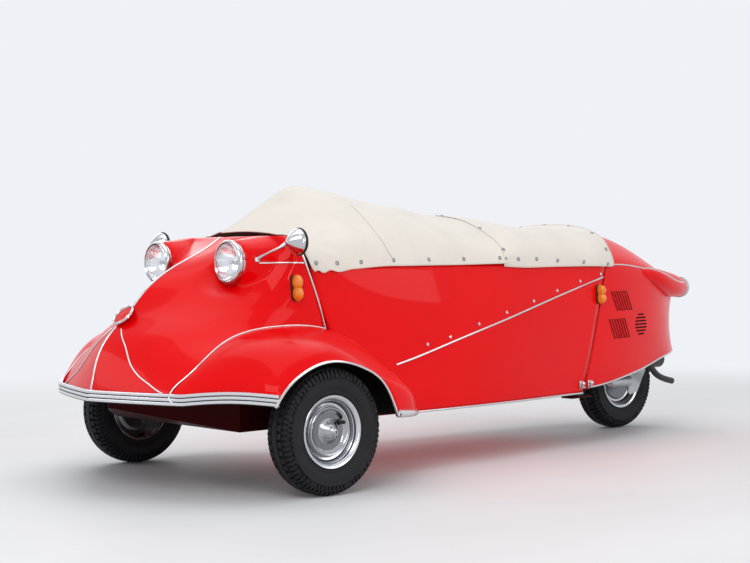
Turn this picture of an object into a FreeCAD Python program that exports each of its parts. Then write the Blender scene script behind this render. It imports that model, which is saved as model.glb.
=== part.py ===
import FreeCAD, Part
import math
import os
import Sketcher
from FreeCAD import Placement, Rotation, Vector

# Three-wheeled bubble car, open version with its cockpit cover and hood bag buttoned down.
# Millimetres. +Z is up, -Y is forwards, +X is the car's left, the origin is on the floor under the
# middle of the car.

doc = FreeCAD.newDocument("bubble_car")
sheet = doc.addObject("Spreadsheet::Sheet", "Sizes")

SIZES = (
    # alias, value
    ("front_axle_y", -890),
    ("wheelbase", 2027),
    ("front_track", 1080),
    ("tyre_radius", 198),
    ("tyre_shoulder_radius", 185),
    ("tyre_shoulder_half", 44),
    ("tyre_half_width", 51),
    ("tyre_sidewall_arc", 75),
    ("bead_half", 34),
    ("rim_seat_radius", 103),
    ("rim_flange_radius", 113.5),
    ("rim_flange_half", 41),
    ("rim_well_radius", 86),
    ("rim_sheet", 3),
    ("wheel_fit", 0.4),
    ("disc_offset", 16),
    ("drum_radius", 70),
    ("drum_half", 26),
    ("hub_radius", 26),
    ("hubcap_radius", 76),
    ("hubcap_height", 30),
    ("hubcap_sheet", 1.5),
    ("valve_hole_radius", 11),
    ("spindle_radius", 12),
    ("bearing_gap", 0.3),
    ("kingpin_inset", 65),
    ("kingpin_radius", 9),
    ("upright_radius", 19),
    ("upright_half", 52),
    ("lug_thickness", 14),
    ("backplate_radius", 76),
    ("backplate_sheet", 4),
    ("steering_arm", 95),
    ("steering_arm_thickness", 9),
    ("rod_eye_height", 16),
    ("rod_eye_radius", 13),
    ("column_ahead_of_axle", 45),
    ("tie_rod_radius", 6),
    ("ball_pin_radius", 6),
    ("column_radius", 12),
    ("axle_tube_radius", 20),
    ("axle_height", 198),
    ("skin", 4),
    ("tub_wall", 14),
    ("cover_cloth", 5),
    ("panel_gap", 6.5),
    ("seat_gap", 0.4),
    ("waist_height", 700),
    ("cowl_height", 805),
    ("nose_hem", 292),
    ("strip_height", 36),
    ("strip_thickness", 7),
    ("sill_height", 209),
    ("belly_height", 193),
    ("belly_sheet", 3),
    ("body_half", 348),
    ("sill_half", 376),
    ("fender_half", 606),
    ("arch_radius", 275),
    ("arch_centre_height", 141),
    ("lamp_half_spacing", 207),
    ("lamp_height", 721),
    ("lamp_radius", 72),
    ("lamp_rim", 6),
    ("lamp_depth", 92),
    ("lamp_glass", 4),
    ("mirror_radius", 44),
    ("mirror_depth", 42),
    ("frame_tube_radius", 17),
    ("frame_height", 430),
    ("frame_half", 130),
    ("tail_hinge_radius", 6),
    ("tail_hinge_height", 806),
    ("tail_lamp_half_spacing", 160),
    ("tail_lamp_height", 588),
    ("tail_lamp_radius", 38),
    ("jack_pad", 70),
    ("tail_hinge_from_rear_axle", -287),
    ("swing_pivot_from_rear_axle", -310),
    ("swing_arm_half", 84),
    ("silencer_radius", 36),
    ("tail_pipe_radius", 13),
)
for row, (alias, value) in enumerate(SIZES, start=1):
    sheet.set(f"A{row}", alias)
    sheet.set(f"B{row}", str(value))
    sheet.setAlias(f"B{row}", alias)
doc.recompute()


class Size:
    """A number that remembers the sheet expression it comes from."""

    def __init__(self, value, text):
        self.value = float(value)
        self.text = text

    @staticmethod
    def of(other):
        return other if isinstance(other, Size) else Size(other, repr(float(other)))

    def _with(self, other, sign, value):
        return Size(value, f"({self.text} {sign} {Size.of(other).text})")

    def __add__(self, other):
        return self._with(other, "+", self.value + Size.of(other).value)

    def __sub__(self, other):
        return self._with(other, "-", self.value - Size.of(other).value)

    def __mul__(self, other):
        return self._with(other, "*", self.value * Size.of(other).value)

    def __truediv__(self, other):
        return self._with(other, "/", self.value / Size.of(other).value)

    def __neg__(self):
        return Size(-self.value, f"(-1 * {self.text})")

    def __radd__(self, other):
        return Size.of(other) + self

    def __rsub__(self, other):
        return Size.of(other) - self

    def __rmul__(self, other):
        return Size.of(other) * self


class Sizes:
    """The sheet's cells, each read as a Size by its alias."""

    def __getattr__(self, alias):
        return Size(getattr(sheet, alias), f"Sizes.{alias}")


dim = Sizes()
front_y = dim.front_axle_y
rear_y = dim.front_axle_y + dim.wheelbase
NODES = {}

# ---------------------------------------------------------------- building helpers


def bind(obj, prop, size):
    obj.setExpression(prop, Size.of(size).text)


def place(obj, x=0, y=0, height=0, rotation=None):
    """Puts an object at a point whose three coordinates stay bound to the sheet."""
    x, y, height = Size.of(x), Size.of(y), Size.of(height)
    obj.Placement = Placement(Vector(x.value, y.value, height.value), rotation or Rotation())
    for axis, size in (("x", x), ("y", y), ("z", height)):
        bind(obj, f"Placement.Base.{axis}", size)
    return obj


ALONG = {
    "X": Rotation(Vector(0, 1, 0), 90),
    "Y": Rotation(Vector(1, 0, 0), -90),
    "Z": Rotation(),
}


def cylinder(name, radius, length, x, y, height, along="Z"):
    obj = doc.addObject("Part::Cylinder", name)
    bind(obj, "Radius", radius)
    bind(obj, "Height", length)
    return place(obj, x, y, height, ALONG[along])


def box(name, x, y, height, x_size, y_size, z_size):
    obj = doc.addObject("Part::Box", name)
    bind(obj, "Length", x_size)
    bind(obj, "Width", y_size)
    bind(obj, "Height", z_size)
    return place(obj, x, y, height)


def fused(name, parts):
    obj = doc.addObject("Part::MultiFuse", name)
    obj.Shapes = parts
    return obj


def cut(name, base, tools):
    obj = doc.addObject("Part::Cut", name)
    obj.Base = base
    obj.Tool = tools[0] if len(tools) == 1 else fused(name + "_tools", tools)
    return obj


def freeform(name, shape):
    obj = doc.addObject("Part::Feature", name)
    obj.Shape = shape
    return obj


def node(name, obj):
    """Declares a finished sub-part: its Label is the name of its file."""
    obj.Label = name
    NODES[name] = obj
    return obj


def origin_plane(body, role):
    return next(f for f in body.Origin.OriginFeatures if f.Role == role)


def arc_middle(start, end, axis, value):
    """The middle of the short arc between two points whose centre lies at axis = value."""
    chord = end.sub(start)
    square = (end.dot(end) - start.dot(start)) / 2
    if axis == "x":
        centre = Vector(value, (square - value * chord.x) / chord.y, 0)
    else:
        centre = Vector((square - value * chord.y) / chord.x, value, 0)
    out = ((start + end) * 0.5).sub(centre).normalize()
    return centre + out * centre.distanceToPoint(start)


def turned(name, profile, arcs=None):
    """A body turned about the X axis. profile: (along the axis, radius) per corner.

    arcs: corner number to (axis, place) of its centre, where the edge after that corner is an arc.
    """
    arcs = arcs or {}
    body = doc.addObject("PartDesign::Body", name)
    sketch = body.newObject("Sketcher::SketchObject", name + "_profile")
    sketch.AttachmentSupport = [(origin_plane(body, "XY_Plane"), "")]
    sketch.MapMode = "FlatFace"
    corners = [(Size.of(a), Size.of(r)) for a, r in profile]
    points = [Vector(a.value, r.value, 0) for a, r in corners]
    for index, start in enumerate(points):
        end = points[(index + 1) % len(points)]
        if index in arcs:
            axis, centre = arcs[index]
            middle = arc_middle(start, end, axis, Size.of(centre).value)
            clockwise = middle.sub(start).cross(end.sub(middle)).z < 0
            first, last = (end, start) if clockwise else (start, end)
            sketch.addGeometry(Part.Arc(first, middle, last), False)
        else:
            sketch.addGeometry(Part.LineSegment(start, end), False)
    bind_profile(sketch, corners, arcs)
    revolution = body.newObject("PartDesign::Revolution", name + "_turned")
    revolution.Profile = sketch
    revolution.ReferenceAxis = (sketch, ["H_Axis"])
    revolution.Angle = 360
    return body


def arc_ends(sketch, index, start, end):
    """Which vertex numbers of an edge are its start and end, since arcs are drawn anticlockwise."""
    edge = sketch.Geometry[index]
    flipped = edge.StartPoint.distanceToPoint(start) > edge.StartPoint.distanceToPoint(end)
    return (2, 1) if flipped else (1, 2)


def bind_profile(sketch, corners, arcs):
    points = [Vector(a.value, r.value, 0) for a, r in corners]
    count = len(points)
    ends = [arc_ends(sketch, i, points[i], points[(i + 1) % count]) for i in range(count)]
    for index in range(count):
        after = (index + 1) % count
        link = Sketcher.Constraint("Coincident", index, ends[index][1], after, ends[after][0])
        sketch.addConstraint(link)
    for index, (along, radius) in enumerate(corners):
        vertex = ends[index][0]
        for kind, size in (("DistanceX", along), ("DistanceY", radius)):
            number = sketch.addConstraint(
                Sketcher.Constraint(kind, -1, 1, index, vertex, size.value))
            sketch.setExpression(f"Constraints[{number}]", size.text)
        if index in arcs:
            axis, centre = arcs[index]
            centre = Size.of(centre)
            kind = "DistanceX" if axis == "x" else "DistanceY"
            number = sketch.addConstraint(Sketcher.Constraint(kind, -1, 1, index, 3, centre.value))
            sketch.setExpression(f"Constraints[{number}]", centre.text)


def polyline(points):
    return [Part.LineSegment(a, b).toShape() for a, b in zip(points, points[1:])]


def arc(a, b, c):
    return Part.Arc(a, b, c).toShape()


def loft(wires, ruled=False):
    return Part.makeLoft(wires, True, ruled)


def mirrored(shape):
    return shape.mirror(Vector(0, 0, 0), Vector(1, 0, 0))


# ---------------------------------------------------------------- wheels

HALF_WHEEL = {
    # wheel: x of its middle plane, y of its axle, side its disc's open face looks to
    "front_left": (dim.front_track / 2, front_y, 1),
    "front_right": (-(dim.front_track / 2), front_y, -1),
    "rear": (Size.of(0), rear_y, 1),
}


def facing(side):
    return Rotation() if side > 0 else Rotation(Vector(0, 0, 1), 180)


def tyre(name):
    crown_rise = dim.tyre_radius - dim.tyre_shoulder_radius
    crown_arc = (dim.tyre_shoulder_half * dim.tyre_shoulder_half + crown_rise * crown_rise) / (crown_rise * 2)
    seat = dim.rim_seat_radius + dim.wheel_fit
    toe = dim.rim_flange_half - dim.rim_sheet - dim.wheel_fit
    over_flange = dim.rim_flange_radius + dim.wheel_fit
    profile = (
        (-dim.bead_half, seat),
        (-toe, over_flange),
        (-dim.tyre_shoulder_half, dim.tyre_shoulder_radius),
        (dim.tyre_shoulder_half, dim.tyre_shoulder_radius),
        (toe, over_flange),
        (dim.bead_half, seat),
    )
    wall_centre = dim.tyre_sidewall_arc - dim.tyre_half_width
    arcs = {1: ("x", wall_centre), 2: ("y", dim.tyre_radius - crown_arc), 3: ("x", -wall_centre)}
    return turned(name, profile, arcs)


def rim(name):
    """Pressed rim, wheel disc and brake drum, all one turning piece."""
    seat = dim.rim_seat_radius
    lip = dim.rim_sheet
    inside = seat - lip
    well = dim.rim_well_radius
    flange = dim.rim_flange_half
    bead = dim.bead_half + dim.wheel_fit
    disc = dim.disc_offset
    bore = dim.spindle_radius + dim.bearing_gap
    profile = (
        (-flange, dim.rim_flange_radius),
        (-flange + lip, dim.rim_flange_radius),
        (-bead, seat),
        (-20, seat - 1),
        (-12, well),
        (8, well),
        (16, seat - 1),
        (bead, seat),
        (flange - lip, dim.rim_flange_radius),
        (flange, dim.rim_flange_radius),
        (flange - 1, inside),
        (disc + lip + 4, inside - 4),
        (disc + lip, dim.hubcap_radius + 8),
        (disc + lip, bore),
        (-dim.drum_half, bore),
        (-dim.drum_half, dim.hub_radius),
        (disc - 8, dim.hub_radius),
        (disc - 8, dim.drum_radius - 5),
        (-dim.drum_half, dim.drum_radius - 5),
        (-dim.drum_half, dim.drum_radius),
        (disc, dim.drum_radius),
        (disc, dim.rim_well_radius - lip),
        (-10, dim.rim_well_radius - lip),
        (-22, inside),
        (-flange + 1, inside),
    )
    return turned(name, profile)


def hubcap(name):
    """Domed cap pressed onto the wheel disc, with the hole the valve looks out of."""
    foot = dim.disc_offset + dim.rim_sheet + dim.seat_gap
    top = foot + dim.hubcap_height
    skin = dim.hubcap_sheet
    profile = (
        (foot, dim.hubcap_radius),
        (top, 9),
        (top + 6, 7),
        (top + 6, 0),
        (top - skin, 0),
        (foot, dim.hubcap_radius - 3),
    )
    arcs = {0: ("y", 0), 4: ("y", 0)}
    dome = turned(name + "_dome", profile, arcs)
    hole = cylinder(name + "_valve_hole", dim.valve_hole_radius, dim.hubcap_height * 2, foot, 55, 32, "X")
    return cut(name, dome, [hole])


for wheel, (x, y, side) in HALF_WHEEL.items():
    node("tyre_" + wheel, place(tyre("tyre_" + wheel), x, y, dim.axle_height, facing(side)))
    node("rim_" + wheel, place(rim("rim_" + wheel), x, y, dim.axle_height, facing(side)))
    if wheel != "rear":
        node("hubcap_" + wheel, place(hubcap("hubcap_" + wheel), x, y, dim.axle_height, facing(side)))

# ---------------------------------------------------------------- body shells

front = front_y.value
rear = rear_y.value
gap = dim.panel_gap.value
skin = dim.skin.value
cowl = dim.cowl_height.value
waist = dim.waist_height.value
body_half = dim.body_half.value
sill_half = dim.sill_half.value
clear = dim.seat_gap.value
lamp_y = front_y - 43
tail_lamp_y = rear_y + 250

POST_SLOPE = -0.366       # how far the windscreen post line runs forwards per mm of height
SEAM_SLOPE = 0.33         # how far the tail's seam runs rearwards per mm of height
SHOULDER_SLOPE = 0.0      # the same line above the waist, where it stands upright behind the hood bag
LIP_SWING = 12            # room behind the bag for the tail's front lip, which dips as the tail lifts


def post_y(height):
    return front + 111 + POST_SLOPE * (height - waist)


def seam_y(height):
    """The tail seam: one straight lean up to the waist, upright above it."""
    slope = SEAM_SLOPE if height <= waist else SHOULDER_SLOPE
    return rear - 419 + slope * (height - waist)


def behind(edge, low, high, half=800, reach=4000):
    """A block of space that lies behind a leaning line, used to trim panels along it."""
    heights = (low, high) if high <= waist or low >= waist else (low, waist, high)
    points = [Vector(-half, edge(h), h) for h in heights]
    points += [Vector(-half, front + reach, high), Vector(-half, front + reach, low)]
    face = Part.Face(Part.makePolygon(points + points[:1]))
    return face.extrude(Vector(2 * half, 0, 0))


# Plan sections of the nose, from its hem up to the cowl.
NOSE_SECTIONS = (
    # height, prow y, flank x, flank y, side x, side y   (y from the front axle)
    (292, -508, 184, -463, 353, -408),
    (325, -501, 184, -458, 353, -402),
    (364, -492, 184, -444, 351, -374),
    (405, -482, 184, -424, 350, -333),
    (453, -462, 184, -389, 349, -262),
    (500, -427, 184, -342, 348, -160),
    (560, -364, 184, -262, 350, -78),
    (640, -288, 180, -164, 350, 0),
    (710, -178, 182, -90, 346, 40),
    (765, -60, 190, -27, 330, 60),
    (805, 4, 150, 6, 282, 30),
)


def nose_wire(row, inset, lift=0):
    height, prow_y, flank_x, flank_y, side_x, side_y = row
    height = height + lift
    rear_edge = post_y(height) + (inset * 3 if inset else 0)
    side_x = side_x + (body_half - 348)
    back_x = max(side_x - inset - 4, 10)
    prow = Vector(0, front + prow_y + inset * 1.3, height)
    flank = Vector(flank_x - inset * 0.7, front + flank_y + inset * 0.9, height)
    side = Vector(side_x - inset, front + side_y + inset * 0.4, height)
    back = Vector(back_x, rear_edge, height)
    flip = [Vector(-p.x, p.y, p.z) for p in (prow, flank, side, back)]
    edges = [arc(prow, flank, side)] + polyline([side, back, flip[3], flip[2]])
    edges.append(arc(flip[2], flip[1], prow))
    return Part.Wire(edges)


def nose_block(grow):
    """The nose as one solid, grown outwards by a clearance so that other pieces can be fitted to it."""
    return loft([nose_wire(row, -grow) for row in NOSE_SECTIONS])


NACELLE_FRONT = 53        # how far each nacelle reaches ahead of its lamp's middle
NACELLE_LENGTH = 106
NACELLE_FLARE = 7         # how much wider it is where it runs into the cowl


def nacelle(side, grow):
    """The tapered fairing behind a headlamp, as one solid grown outwards from the lamp's bucket."""
    bucket = dim.lamp_radius.value - dim.lamp_rim.value + clear + grow
    back = Vector(side * dim.lamp_half_spacing.value, lamp_y.value - NACELLE_FRONT + NACELLE_LENGTH,
                  dim.lamp_height.value)
    return Part.makeCone(bucket + NACELLE_FLARE, bucket, NACELLE_LENGTH, back, Vector(0, -1, 0))


def nose_shell():
    outer = nose_block(0)
    lifts = [-1] + [-skin] * (len(NOSE_SECTIONS) - 1)
    inner = loft([nose_wire(row, skin, lift) for row, lift in zip(NOSE_SECTIONS, lifts)])
    for side in (1, -1):
        outer = outer.fuse(nacelle(side, skin))
        inner = inner.fuse(nacelle(side, 0))
    shell = outer.cut(inner)
    for side in (1, -1):
        shell = shell.cut(lamp_space(side))
    return shell


def lamp_space(side):
    """The room a headlamp's bowl, bucket and rim take up, with their clearance."""
    bucket = dim.lamp_radius.value - dim.lamp_rim.value + clear
    rim_y = lamp_y.value - (dim.lamp_depth.value - 28) + clear
    x = side * dim.lamp_half_spacing.value
    outline = ((0, lamp_y.value + 21), (43, lamp_y.value), (bucket, lamp_y.value - 23), (bucket, rim_y),
               (dim.lamp_radius.value + clear, rim_y), (dim.lamp_radius.value + clear, front - 500),
               (0, front - 500))
    points = [Vector(x + radius, y, dim.lamp_height.value) for radius, y in outline]
    half = Part.Face(Part.makePolygon(points + points[:1]))
    return half.revolve(Vector(x, 0, dim.lamp_height.value), Vector(0, 1, 0), 360)


PAN_PROW_Y = -440         # the pan's bow from the front axle
PAN_SIDE_Y = -184         # where the bow's sides run into the straight sides, and the keel levels out
PAN_KEEL_SLOPE = 0.28


def pan_block(inset):
    """The space under the nose hem: a bow-shaped plan, a keel that rises forwards, a flat floor."""
    top = dim.nose_hem.value - clear + (20 if inset else 0)
    low = dim.belly_height.value + inset
    slope = PAN_KEEL_SLOPE
    knee = front + PAN_SIDE_Y + inset * 0.13
    prow = knee - (top - low) / slope
    heel = post_y(low) - inset - clear
    crest = post_y(top) - inset - clear
    side = [Vector(-400, y, h) for y, h in ((prow, top), (knee, low), (heel, low), (crest, top))]
    prism = Part.Face(Part.makePolygon(side + side[:1])).extrude(Vector(800, 0, 0))
    side_x = NOSE_SECTIONS[0][4] - inset - 2
    outline = [Vector(0, front + PAN_PROW_Y + inset * 1.2, 0),
               Vector(side_x / 2, front + (PAN_PROW_Y + PAN_SIDE_Y) / 2 - 14 + inset * 1.2, 0),
               Vector(side_x, front + PAN_SIDE_Y + inset, 0),
               Vector(side_x, front + 400, 0)]
    left = [Vector(-p.x, p.y, 0) for p in outline]
    edges = [arc(*outline[:3])] + polyline([outline[2], outline[3], left[3], left[2]])
    edges.append(arc(*left[2::-1]))
    plan = Part.Face(Part.Wire(edges)).extrude(Vector(0, 0, 600))
    return prism.common(plan)


# Lengthwise sections of a front fender, from the nose outwards.
FENDER_SECTIONS = (
    # x, front y, crown y, crown height, rear y, front bulge (y, height), rear bulge (y, height), rear hem
    (345, -413, -45, 513, 470, -300, 450, 285, 454, 212),
    (388, -380, -42, 511, 462, -280, 448, 276, 448, 212),
    (440, -342, -36, 505, 428, -256, 440, 258, 434, 215),
    (520, -284, -22, 483, 370, -214, 420, 230, 404, 224),
    (585, -237, -10, 447, 312, -174, 391, 199, 362, 236),
    (606, -222, -6, 428, 288, -160, 371, 186, 342, 240),
)


def fender_wire(row, inset, x_shift=0.0, drop=0.0):
    x, front_y_, crown_y, crown_z, back_y, fb_y, fb_z, rb_y, rb_z, hem = row
    x = x + x_shift
    strip_top = dim.nose_hem.value + dim.strip_height.value
    low_front = Vector(x, front + front_y_ + inset, dim.nose_hem.value - drop)
    shoulder = Vector(x, front + front_y_ + inset, strip_top)
    bulge = Vector(x, front + fb_y + inset * 0.7, fb_z - inset * 0.7)
    crown = Vector(x, front + crown_y, crown_z - inset)
    back_bulge = Vector(x, front + rb_y - inset * 0.6, rb_z - inset * 0.8)
    heel = Vector(x, front + back_y - inset, hem + 60)
    low_back = Vector(x, front + back_y - inset, hem - drop)
    edges = [Part.LineSegment(low_front, shoulder).toShape(), arc(shoulder, bulge, crown)]
    edges.append(arc(crown, back_bulge, heel))
    edges += polyline([heel, low_back, low_front])
    return Part.Wire(edges)


def fender_block(grow):
    widen = dim.fender_half.value - 606
    return loft([fender_wire(row, -grow, widen * (row[0] > 500)) for row in FENDER_SECTIONS])


def fender_shell():
    widen = dim.fender_half.value - 606
    inner_rows = FENDER_SECTIONS[:-1] + ((606 - skin,) + FENDER_SECTIONS[-1][1:],)
    shifts = [-10] + [0] * (len(inner_rows) - 1)
    inner = loft([fender_wire(row, skin, shift + widen * (row[0] > 500), 40)
                  for row, shift in zip(inner_rows, shifts)])
    shell = fender_block(0).cut(inner)
    at = Vector(500, front - 9, dim.arch_centre_height.value)
    shell = shell.cut(Part.makeCylinder(dim.arch_radius.value, 400, at, Vector(1, 0, 0)))
    return shell.cut(nose_block(clear)).cut(tub_block(clear, dim.sill_height.value)).cut(pan_block(-clear))


# Cross sections of the cockpit tub.
TUB_SECTIONS = (
    # y from the front axle, or from the rear axle where it is negative; sill x, bulge x, waist x
    (50, 366, 356, 344),
    (520, 376, 374, 348),
    (-1027, 372, 369, 342),
    (-567, 332, 336, 322),
    (-380, 322, 325, 312),
)


def station(y):
    return front + y if y >= 0 else rear + y


def tub_wire(row, inset, low, high):
    y, sill_x, bulge_x, waist_x = row
    y = station(y)
    sill_x = sill_x + (sill_half - 376) - inset
    waist_x = waist_x + (body_half - 348) - inset
    bulge_x = bulge_x + (sill_half - 376) - inset
    sill = Vector(sill_x, y, low)
    bulge = Vector(bulge_x, y, (low + high) / 2 - 20)
    rim_ = Vector(waist_x, y, high)
    flip = [Vector(-p.x, p.y, p.z) for p in (sill, bulge, rim_)]
    edges = [arc(sill, bulge, rim_)] + polyline([rim_, flip[2]])
    edges += [arc(flip[2], flip[1], flip[0])] + polyline([flip[0], sill])
    return Part.Wire(edges)


def tub_block(grow, low):
    return loft([tub_wire(row, -grow, low, waist) for row in TUB_SECTIONS])


def cabin_tub():
    wall = dim.tub_wall.value
    low = dim.sill_height.value
    inner = loft([tub_wire(row, wall, low + 10, waist + 30) for row in TUB_SECTIONS])
    nose_side = behind(lambda h: post_y(h) + clear, low - 50, waist + 80)
    tail_side = behind(lambda h: seam_y(h) - gap / 2, low - 50, waist + 80)
    inner_tail = behind(lambda h: seam_y(h) - gap / 2 - wall, low - 50, waist + 80)
    shell = tub_block(0, low).common(nose_side).cut(tail_side).cut(inner.cut(inner_tail))
    pad = dim.jack_pad.value
    for side in (1, -1):
        corner = Vector(side * 250 - pad / 2, front + 700 - pad / 2, low - 8)
        shell = shell.fuse(Part.makeBox(pad, pad, 10, corner))
    return shell


# Cross sections of the tail cover.
TAIL_SECTIONS = (
    # y from the rear axle, hem x, hem height, waist x, waist height, crown height
    (-600, 336, 216, 324, 694, 862),
    (-327, 314, 226, 309, 690, 838),
    (-160, 288, 258, 284, 674, 806),
    (0, 252, 283, 250, 643, 742),
    (140, 200, 312, 206, 606, 690),
    (225, 146, 326, 158, 586, 656),
    (250, 104, 333, 120, 580, 643),
)


def tail_wire(row, inset, drop=0.0, forward=0.0):
    y, hem_x, hem_z, waist_x, waist_z, crown = row
    y = rear + y + forward
    widen = body_half - 348
    hem = Vector(hem_x + widen - inset, y, hem_z - drop)
    side = Vector((hem_x * 0.45 + waist_x * 0.55) + widen + 6 - inset, y, (hem_z + waist_z) / 2)
    rim_ = Vector(waist_x + widen - inset, y, waist_z)
    top = Vector(0, y, crown - inset)
    flip = [Vector(-p.x, p.y, p.z) for p in (hem, side, rim_)]
    edges = [arc(hem, side, rim_), arc(rim_, top, flip[2]), arc(flip[2], flip[1], flip[0])]
    edges += polyline([flip[0], hem])
    return Part.Wire(edges)


LOUVRE_BANKS = (
    # middle y from the rear axle, middle height, slot length, lean in degrees
    (-293, 546, 82, 24),
    (-306, 437, 78, 22),
)
LOUVRES = 7
LOUVRE_PITCH = 16
GRILLE = (-151, 447, 46)   # y from the rear axle, height, radius
GRILLE_BARS = 7


def louvre_slots():
    """Two banks of leaning slots and one round grille in the left side of the tail."""
    slots = []
    for bank_y, bank_z, length, lean in LOUVRE_BANKS:
        for index in range(LOUVRES):
            y = rear + bank_y + (index - (LOUVRES - 1) / 2) * LOUVRE_PITCH
            slot = Part.makeBox(200, 6, length, Vector(200, y - 3, bank_z - length / 2))
            slot.rotate(Vector(0, y, bank_z), Vector(1, 0, 0), lean)
            slots.append(slot)
    grille_y, grille_z, radius = GRILLE
    for index in range(GRILLE_BARS):
        offset = (index - (GRILLE_BARS - 1) / 2) * 13
        half = math.sqrt(radius * radius - offset * offset)
        corner = Vector(200, rear + grille_y - half, grille_z + offset - 2.5)
        slots.append(Part.makeBox(200, 2 * half, 5, corner))
    return slots


# Round sections of the fin that swells out of the tail's corner and ends at the tail lamp.
POD_SECTIONS = (
    # y from the rear axle, x, height, radius
    (-60, 236, 634, 12),
    (0, 226, 624, 34),
    (70, 210, 610, 48),
    (140, 192, 599, 48),
    (200, 175, 591, 43),
)


def lamp_pod(inner):
    """Fin that carries the left tail lamp, outside the inner surface."""
    end = (250, dim.tail_lamp_half_spacing.value, dim.tail_lamp_height.value, dim.tail_lamp_radius.value)
    rings = []
    for y, x, height, radius in (*POD_SECTIONS, end):
        circle = Part.makeCircle(radius, Vector(x, rear + y, height), Vector(0, 1, 0))
        rings.append(Part.Wire([circle]))
    return loft(rings).cut(inner)


def hinge_ear(side, outer):
    y = rear + dim.tail_hinge_from_rear_axle.value
    height = dim.tail_hinge_height.value
    corner = Vector(side * 98 - 3, y, height)
    eye = Part.makeCylinder(12, 6, corner, Vector(1, 0, 0))
    hanger = Part.makeBox(6, 24, 60, corner + Vector(0, -12, 0)).common(outer)
    bore = dim.tail_hinge_radius.value + dim.bearing_gap.value
    hole = Part.makeCylinder(bore, 20, corner + Vector(-7, 0, 0), Vector(1, 0, 0))
    return eye.fuse(hanger).cut(hole)


def tail_cover():
    outer = loft([tail_wire(row, 0) for row in TAIL_SECTIONS])
    forwards = [-20] + [0] * (len(TAIL_SECTIONS) - 2) + [-skin]
    inner = loft([tail_wire(row, skin, 60, forward) for row, forward in zip(TAIL_SECTIONS, forwards)])
    pod = lamp_pod(inner)
    shell = outer.cut(inner).fuse(pod).fuse(mirrored(pod))
    shell = shell.common(behind(lambda h: seam_y(h) + gap / 2, 100, 1100))
    slots = louvre_slots()
    shell = shell.cut(Part.makeCompound(slots + [mirrored(slot) for slot in slots]))
    for side in (1, -1):
        shell = shell.fuse(hinge_ear(side, outer))
    return shell


node("nose_shell", freeform("nose_shell", nose_shell()))
left_fender = fender_shell()
node("fender_left", freeform("fender_left", left_fender))
node("fender_right", freeform("fender_right", mirrored(left_fender)))
node("cabin_tub", freeform("cabin_tub", cabin_tub()))
node("tail_cover", freeform("tail_cover", tail_cover()))

# ---------------------------------------------------------------- cloth covers

COVER_SECTIONS = (
    # y from the front axle; x and height of the hem, the shoulder and the ridge's foot; crown height
    (14, 26, 806, 21, 810, 12, 814, 818),
    (60, 112, 806, 102, 811, 50, 831, 849),
    (104, 222, 806, 208, 810, 100, 838, 875),
    (121, 352, 690, 262, 806, 100, 845, 885),
    (215, 353, 690, 290, 818, 110, 890, 944),
    (300, 353, 690, 282, 858, 120, 938, 980),
    (400, 353, 690, 276, 870, 130, 948, 979),
    (520, 353, 690, 272, 864, 130, 938, 966),
    (766, 351, 692, 262, 850, 130, 908, 930),
    (1020, 347, 690, 254, 832, 130, 874, 891),
)

BAG_SECTIONS = (
    (1024, 345, 690, 256, 830, 130, 873, 889),
    (1180, 341, 689, 262, 824, 130, 866, 880),
    (1345, 336, 691, 266, 812, 130, 848, 858),
    (1520, 326, 694, 264, 806, 130, 840, 850),
    (1640, 318, 698, 254, 802, 130, 836, 845),
)


def cover_wire(row, inset, hem_drop=0.0):
    y, hem_x, hem_z, shoulder_x, shoulder_z, foot_x, foot_z, crown = row
    y = front + y
    widen = (body_half - 348) * (hem_x > 300)
    hem = Vector(hem_x + widen - inset, y, hem_z - hem_drop)
    shoulder = Vector(shoulder_x + widen - inset, y, shoulder_z - inset)
    foot = Vector(foot_x, y, foot_z - inset)
    top = Vector(0, y, crown - inset)
    flip = [Vector(-p.x, p.y, p.z) for p in (hem, shoulder, foot)]
    edges = polyline([hem, shoulder, foot]) + [arc(foot, top, flip[2])]
    edges += polyline([flip[2], flip[1], flip[0], hem])
    return Part.Wire(edges)


def tonneau_cover():
    """Cloth tent over the cockpit: its hem hangs outside the tub's rim and the nose's rear edge."""
    cloth = dim.cover_cloth.value
    outer = loft([cover_wire(row, 0) for row in COVER_SECTIONS], ruled=True)
    last_y, *last = COVER_SECTIONS[-1]
    rows = [*COVER_SECTIONS[3:-1], (last_y - 8, *last)]
    inner_rows = [(y, hem_x - 12, hem_z, *rest) for y, hem_x, hem_z, *rest in rows]
    inner = loft([cover_wire(row, cloth, 20) for row in inner_rows], ruled=True)
    rim_ = tub_block(clear, dim.sill_height.value)
    rim_.translate(Vector(0, 0, clear))
    return outer.cut(nose_block(clear)).cut(rim_).cut(inner)


def hood_bag():
    outer = loft([cover_wire(row, 0) for row in BAG_SECTIONS])
    over_rim = Part.makeBox(1200, 900, 60, Vector(-600, front + 1000, waist + dim.seat_gap.value - 60))
    tail_side = behind(lambda h: seam_y(h) - gap / 2 - LIP_SWING * (h >= waist), 600, 1000)
    return outer.cut(over_rim).cut(tail_side)


node("tonneau_cover", freeform("tonneau_cover", tonneau_cover()))
node("hood_bag", freeform("hood_bag", hood_bag()))

# ---------------------------------------------------------------- panels below and outside the shells


def belly_pan():
    """Pressed pan closing the nose from below, with an opening each side for axle and steering rod."""
    pan = pan_block(0).cut(pan_block(dim.belly_sheet.value))
    low = dim.belly_height.value + dim.belly_sheet.value
    opening = Part.makeBox(900, 190, 200, Vector(-450, front - 40, low - 0.5))
    return pan.cut(opening.cut(Part.makeBox(640, 190, 200, Vector(-320, front - 40, low - 0.5))))


STRIP_END = (604, -222)    # x, y from the front axle: where the strip meets the wheel arch
STRIP_RIBS = (
    # height of its lower edge, tall, deep
    (0, 36, 3),
    (0, 8, 7),
    (14, 8, 7),
    (28, 8, 7),
)


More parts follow.
